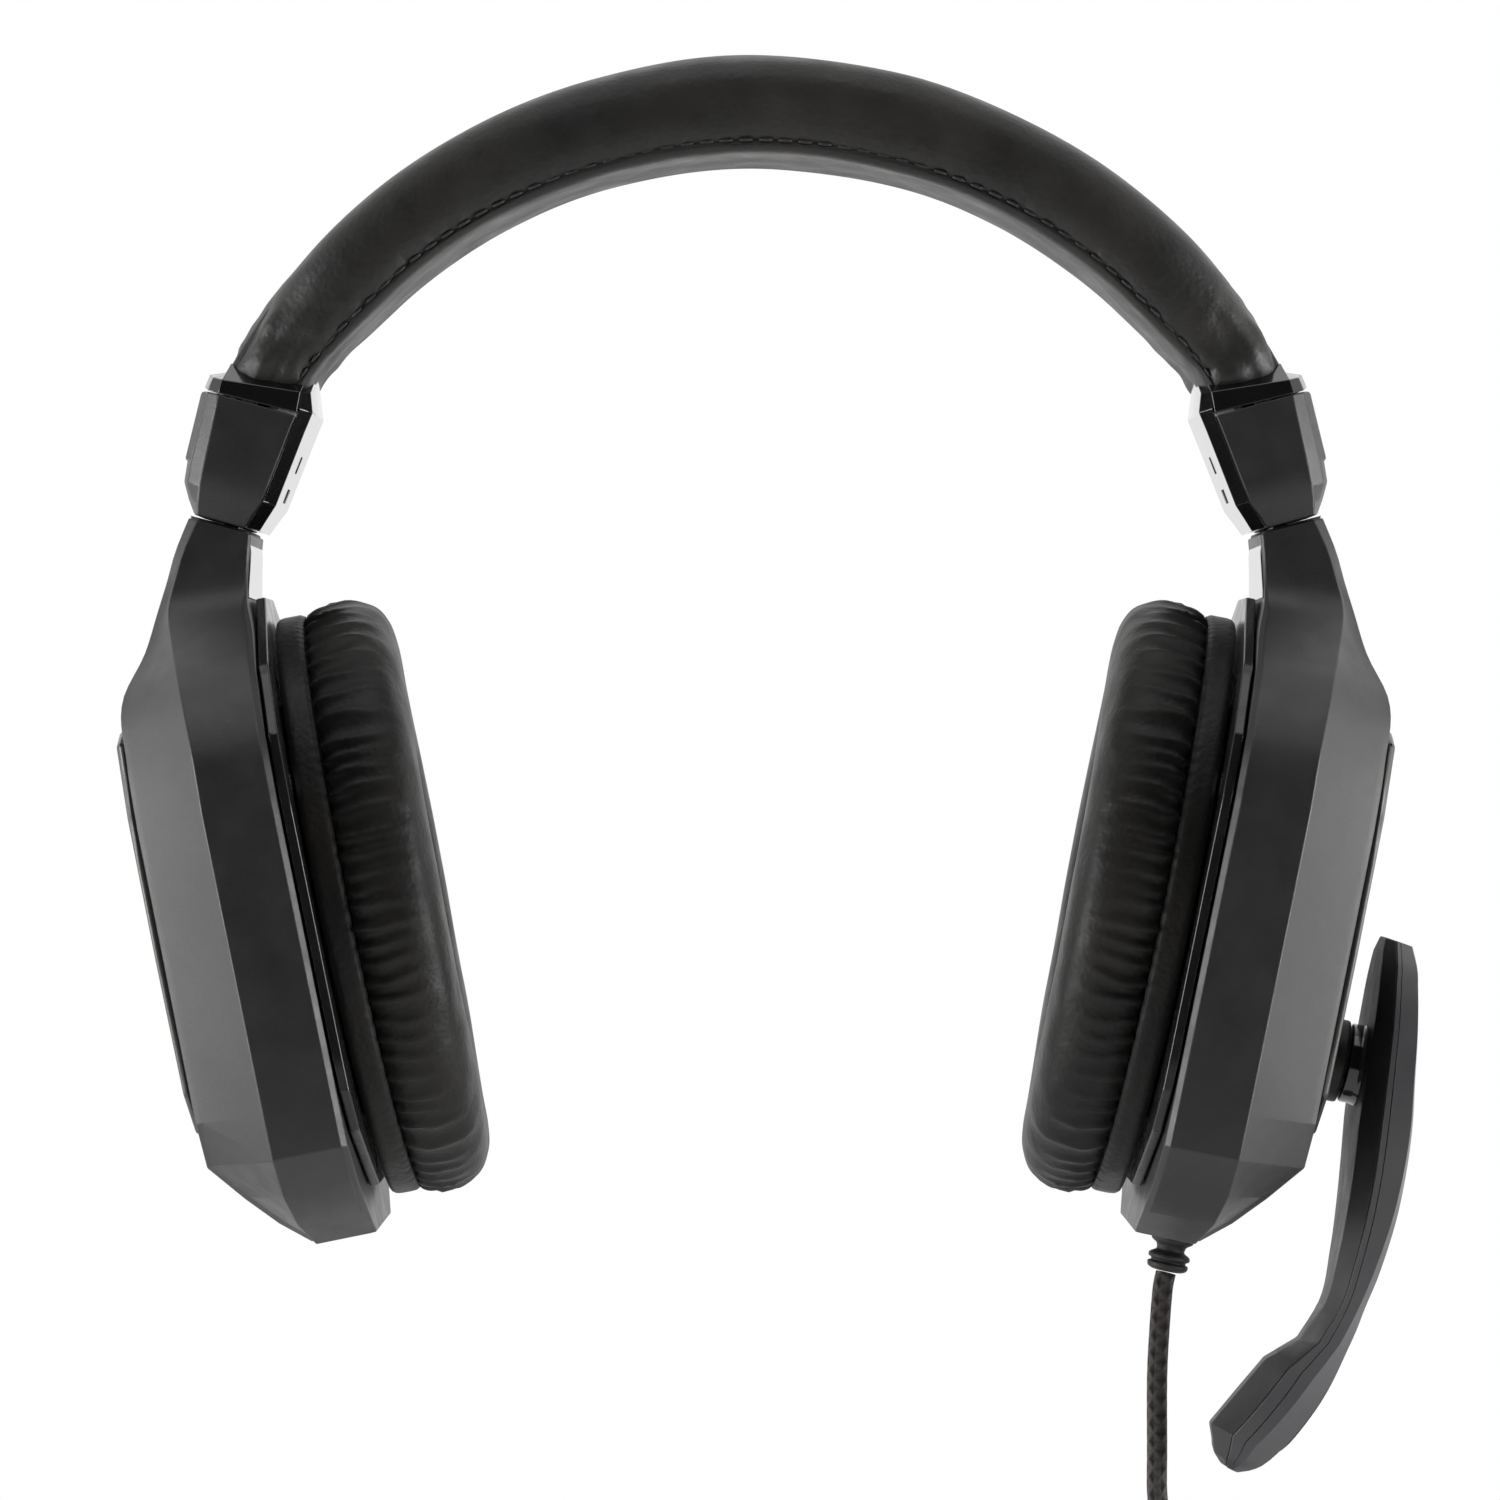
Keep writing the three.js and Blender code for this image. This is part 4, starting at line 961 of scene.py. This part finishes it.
def arm_gap_painted_shade():
    """A thin dark step on top of the arm, under the adjuster: painted shade standing in for the shadowed gap
    between them.
    """
    top = shell_ring(SHELL_ROWS[-1])
    middle = sum(top, Vector()) / len(top)
    foot = [middle + (p - middle) * 0.93 for p in top]
    gap_shade = loft([[p - Vector((0, 0, 0.6)) for p in foot], [p + Vector((0, 0, 0.45)) for p in foot]])
    # Dark plastic here is painted shade for the gap under the adjuster.
    fit_both(piece("arm_seal_left", gap_shade, DARK, CUP), "earcup", "dark_plastic")


cup_shell()
cup_plates()
arm_panel()
arm_gap_painted_shade()


# ---- Adjusters ----

HOUSING = [  # z, inner x, front face's outer edge, outer x, half depth
    (-11.7, -4.6, 5.2, 6, 12.4), (-9.6, -5.3, 5.6, 7.4, 13.4), (-7.2, -6.2, 5.85, 8.7, 14.6),
    (-4.2, -6.55, 6.05, 9, 15), (5.3, -7.5, 6.6, 9.3, 15), (7.2, -7.75, 6.8, 9.5, 15),
    (8.6, -7.9, 6.8, 9.4, 14.9), (11, -6.7, 6.7, 9, 14.6)]
BODY_LEVELS = (-11.7, -9.6, -7.2, -4.2, 5.3, 7.2)
PANEL_LEVELS = ((-11.5, 0), (-9.6, 0), (-7, 0), (5.3, 0), (8.4, 0), (10.9, 3.4))  # z, and rise of the middle
CAP_LEVELS = ((-4, 0.1), (-3.6, 0.5), (4.9, 0.5), (6.7, 0.4), (7.1, 0.15))  # z, and how far it stands out
MARKS = ((0.2, 2.8, 0.35), (-5, 2.3, 1.1))  # middle, height, half width


def housing_row(z):
    """The housing's row at a height, on straight lines between its levels."""
    keys = [row[0] for row in HOUSING]
    return spline(keys, [Vector(row) for row in HOUSING], z, keys)


def housing_ring(z, inset=0.0, lift=(0, 0, 0, 0)):
    """The housing's outline at a height. lift raises the inner, front, corner and outer points."""
    _, inner, front, outer, half = housing_row(z)
    half -= inset
    points = [(inner + 2.1, half), (front, half), (outer - 0.8 - inset, half - 2),
              (outer - inset, half - 4.5)]
    return with_back([Vector((x, y, z + up)) for (x, y), up in zip(points, lift)])


def adjuster_body():
    rings = [housing_ring(z) for z in BODY_LEVELS]
    body = bevelled(piece("adjuster_body_left", loft(rings), SHELL, ADJUSTER), 0.3, 3, 20)
    fit_both(body, "headband", "shell", "adjuster_housing")


def adjuster_collar():
    """The glossy collar that the padding goes into, highest at its middle."""
    rings = [housing_ring(7.3, 0, (0.4, 0, 0, 0.4)), housing_ring(9.5, 0, (1.4, 0, 0, 0.4)),
             housing_ring(9.5, 5.5, (4.4, 3, 3, 3.2))]
    collar = bevelled(piece("adjuster_collar_left", loft(rings), GLOSS, ADJUSTER), 0.15, 2, 20, "MITER_SHARP")
    fit_both(collar, "headband", "gloss_trim")


def adjuster_panel():
    """The glossy plate on the head's side."""
    rings = []
    for z, tip in PANEL_LEVELS:
        _, inner, _, _, half = housing_row(z)
        rings.append(with_back([Vector((inner + 0.2 * tip, 2.5, z + tip)),
                                Vector((inner, half - 2.4, z + tip * 0.1)),
                                Vector((inner + 2, half - 0.25, z))]))
    panel = bevelled(piece("adjuster_panel_left", loft(rings), GLOSS, ADJUSTER), 0.15, 2, 20, "MITER_SHARP")
    fit_both(panel, "headband", "gloss_trim", "adjuster_plate")


def adjuster_cap():
    """The raised field on the housing's outer face."""
    rings = []
    for z, proud in CAP_LEVELS:
        _, _, _, outer, half = housing_row(z)
        ring = [(outer - 1.5, half - 2.3), (outer - 0.8 + proud * 0.5, half - 2.6),
                (outer + proud, half - 4.9)]
        rings.append(at_height(both_sides(ring), z))
    cap = bevelled(piece("adjuster_cap_left", loft(rings), SHELL, ADJUSTER), 0.15, 2, 20)
    fit_both(cap, "headband", "shell")


def adjuster_marks():
    """Two plain bars on the inner plate."""
    for k, (z, tall, wide) in enumerate(MARKS):
        inner = housing_row(z)[1]
        rings = [at_height(both_sides([(housing_row(z + dz)[1] - 0.1, wide), (inner + 0.8, wide)]), z + dz)
                 for dz in (-tall / 2, tall / 2)]
        mark = bevelled(piece(f"adjuster_mark_{k + 1}_left", loft(rings), DARK, ADJUSTER), 0.08, 2)
        fit_both(mark, "headband", "dark_plastic")


adjuster_body()
adjuster_collar()
adjuster_panel()
adjuster_cap()
adjuster_marks()


# ---- Microphone boom ----

# Inner x, inner z, outer x, outer z, half depth, the outer chamfer's start and depth, the inner face's depth.
BOOM_ROWS = [
    (30.4, 0, 34.6, -0.6, 7, 0.97, 0.94, 0.66), (30.1, -2.4, 35.5, -3.4, 11.5, 0.97, 0.95, 0.68),
    (30.2, -6.4, 36.0, -6.6, 15, 0.97, 0.96, 0.7), (30.5, -13, 37, -13, 18, 0.97, 0.965, 0.7),
    (30.8, -20.5, 38, -20.5, 19, 0.96, 0.965, 0.7), (31.2, -28.5, 39.2, -28.5, 18.3, 0.95, 0.96, 0.7),
    (31.9, -35.5, 39.8, -35.5, 16.6, 0.93, 0.95, 0.7), (32.4, -42, 40, -42.4, 14.4, 0.9, 0.93, 0.68),
    (32.7, -50, 39.4, -51, 12, 0.85, 0.89, 0.6), (32.3, -58.5, 38.4, -57.5, 10, 0.8, 0.84, 0.45),
    (29.9, -64.5, 37.5, -63, 9.2, 0.76, 0.79, 0.32), (25.3, -68.5, 35.8, -69.8, 8.8, 0.72, 0.75, 0.25),
    (22, -74.5, 33.1, -76.8, 8.4, 0.69, 0.71, 0.25), (18.9, -80.2, 29.8, -82.6, 7.4, 0.67, 0.68, 0.25),
    (19.8, -82.6, 28, -84.9, 6.4, 0.66, 0.66, 0.3), (20.5, -84.6, 26.2, -86.2, 4.9, 0.66, 0.6, 0.4),
    (21.8, -86, 24.6, -86.9, 2.9, 0.66, 0.55, 0.4)]
BOOM_INNER_CORNERS = (0, 2.4, 6.4, 64.5, 68.5, 80.2)  # down from the boom's top


def boom_row(key):
    """The boom's row at a distance down from its top: its inner edge has corners, the rest is smooth."""
    keys = [-row[1] for row in BOOM_ROWS]
    rows = [Vector(row) for row in BOOM_ROWS]
    smooth = spline(keys, rows, key)
    crisp = spline(keys, rows, key, BOOM_INNER_CORNERS)
    return [*crisp[:2], *smooth[2:]]


def boom_rings(shares, keys):
    """Rings across the boom, from pairs of a share of its thickness and a fraction of its half depth."""
    rings = []
    for key in keys:
        inner_x, inner_z, outer_x, outer_z, deep, start, end, face = boom_row(key)
        inner, outer = Vector((inner_x, 0, inner_z)), Vector((outer_x, 0, outer_z))
        half = []
        for share, fraction in shares(start, end, face):
            half.append(inner.lerp(outer, share) + Vector((0, deep * fraction, 0)))
        rings.append(with_back(half))
    return rings


def inner_half(start, end, face):
    """The dark inner side, up to the edge of the front face."""
    return (0, face), (0.26 + 0.145 * face, 0.985)


def outer_half(start, end, face):
    """The front face with its parting groove, the outer chamfer and the outer face."""
    return ((0.265 + 0.145 * face, 0.985), (0.28 + 0.145 * face, 1), (0.489, 1), (0.496, 0.975),
            (0.502, 0.975), (0.509, 1), (start - 0.02, 0.99), (1, end - 0.12))


def boom():
    keys = finer([-row[1] for row in BOOM_ROWS], 1.5)
    inside = bevelled(piece("boom_inside", loft(boom_rings(inner_half, keys)), DARK, CUP), 0.3, 2, 20)
    fit(inside, "mic_boom", "shell", "boom_inner_half")
    outside = bevelled(piece("boom_outside", loft(boom_rings(outer_half, keys)), BOOM, CUP), 0.12, 2, 20)
    fit(outside, "mic_boom", "shell", "boom_outer_half")


def boom_inlay():
    """The long dark inlay on the outer side of the microphone's head, with rounded ends."""
    rings = []
    for key in finer([60.5, 80.5], 1.2):
        inner_x, inner_z, outer_x, outer_z, deep, _, _, _ = boom_row(key)
        start, stop = Vector((inner_x, 0, inner_z)), Vector((outer_x, 0, outer_z))
        ease = min(1, ((key - 59.8) / 5) ** 0.5, ((81.6 - key) / 3) ** 0.5)
        rings.append(with_back([start.lerp(stop, 0.9) + Vector((0, deep * 0.52 * ease, 0)),
                                start.lerp(stop, 1.0 + 0.035 * ease) + Vector((0, deep * 0.44 * ease, 0))]))
    inlay = bevelled(piece("boom_inlay", loft(rings), DARK, CUP), 0.25, 2, 20)
    fit(inlay, "mic_boom", "dark_plastic")


PIVOT_SEAT = [(0.01, 24), (6.5, 24), (6.5, 27.8), (6.3, 28.1), (0.01, 28.1)]
PIVOT_RING = [(0.01, 28.35), (6.0, 28.35), (6.25, 28.6), (6.25, 30.2), (6.6, 31.2), (0.01, 31.2)]


def pivot():
    place = CUP @ Matrix.Translation((0, 0, PIVOT_HEIGHT))
    base = turned("pivot_seat", PIVOT_SEAT, 0.3, DARK, place, 64)
    fit(base, "earcup_left", "dark_plastic", "pivot_base")
    collar = turned("pivot_ring", PIVOT_RING, 0.3, GLOSS, place, 64)
    fit(collar, "mic_boom", "gloss_trim", "pivot_collar")


boom()
boom_inlay()
pivot()


# ---- Finishes of the parts taken over from the frame ----

FINISHES = {
    "headband_spring": STEEL, "crossover_cable": RUBBER, "detent_spring": STEEL, "band_screw": STEEL,
    "slider": TRIM, "speaker_carrier": DARK, "driver_grille": DARK, "driver_diaphragm": FILM,
    "driver_basket": STEEL, "driver_magnet": STEEL, "shell_screw": STEEL, "mic_board": BOARD,
    "mic_capsule": STEEL, "pivot_shaft": STEEL}
for name, obj in frame["nodes"].items():
    for start, material in FINISHES.items():
        if name.startswith(start):
            for slot in obj.material_slots:
                slot.material = material


# ---- Floor, lights, world ----

def floor():
    """A plain pale disc below the plug."""
    angles = [2 * math.pi * i / 96 for i in range(96)]
    rings = [[Vector((r * math.cos(a), r * math.sin(a), z)) for a in angles]
             for r, z in ((780, -338), (800, -336), (800, -332), (792, -330))]
    s = Surface("floor", 0.6)
    s.coloured(s.noise(6, 3), (0.78, 0.78, 0.78), (0.82, 0.82, 0.82))
    s.rough(s.noise(40, 4), 0.55, 0.7)
    piece("floor", loft(rings), s.material)


def softbox(name, place, target, size, power):
    data = bpy.data.lights.new(name, "AREA")
    data.shape = "RECTANGLE"
    data.size, data.size_y = size
    data.energy = power
    light = bpy.data.objects.new(name, data)
    light.location = place
    light.rotation_euler = (Vector(target) - Vector(place)).to_track_quat("-Z", "Y").to_euler()
    scene.collection.objects.link(light)


def surroundings():
    """White where the camera looks past the object; as a light, bright behind it and dim in front."""
    world = bpy.data.worlds.new("studio")
    world.use_nodes = True
    scene.world = world
    tree = world.node_tree
    tree.nodes.clear()

    def add(kind):
        return tree.nodes.new("ShaderNode" + kind)

    place, split, ramp = add("TexCoord"), add("SeparateXYZ"), add("MapRange")
    ramp.interpolation_type = "SMOOTHSTEP"
    for socket, value in (("From Min", -0.5), ("From Max", 0.5), ("To Min", 0.03), ("To Max", 1.1)):
        ramp.inputs[socket].default_value = value
    light, seen, mix = add("Background"), add("Background"), add("MixShader")
    path, output = add("LightPath"), add("OutputWorld")
    for source, target in (
            (place.outputs["Generated"], split.inputs[0]), (split.outputs["Y"], ramp.inputs["Value"]),
            (ramp.outputs["Result"], light.inputs["Strength"]),
            (path.outputs["Is Camera Ray"], mix.inputs[0]), (light.outputs[0], mix.inputs[1]),
            (seen.outputs[0], mix.inputs[2]), (mix.outputs[0], output.inputs[0])):
        tree.links.new(source, target)
    light.inputs["Color"].default_value = (1, 1, 1, 1)
    seen.inputs["Color"].default_value = (1, 1, 1, 1)
    scene.view_settings.view_transform = "Standard"


floor()
surroundings()
softbox("left_softbox", (-1.3, -0.3, -0.3), (0, 0, -0.12), (0.8, 1.3), 36)
softbox("right_softbox", (1.3, -0.3, -0.3), (0, 0, -0.12), (0.8, 1.3), 36)
softbox("top_softbox", (0, -0.45, 1.3), (0, 0, -0.05), (1.4, 0.9), 6)
softbox("low_bounce", (0, -0.7, -0.95), (0, 0, -0.2), (2.2, 0.7), 36)
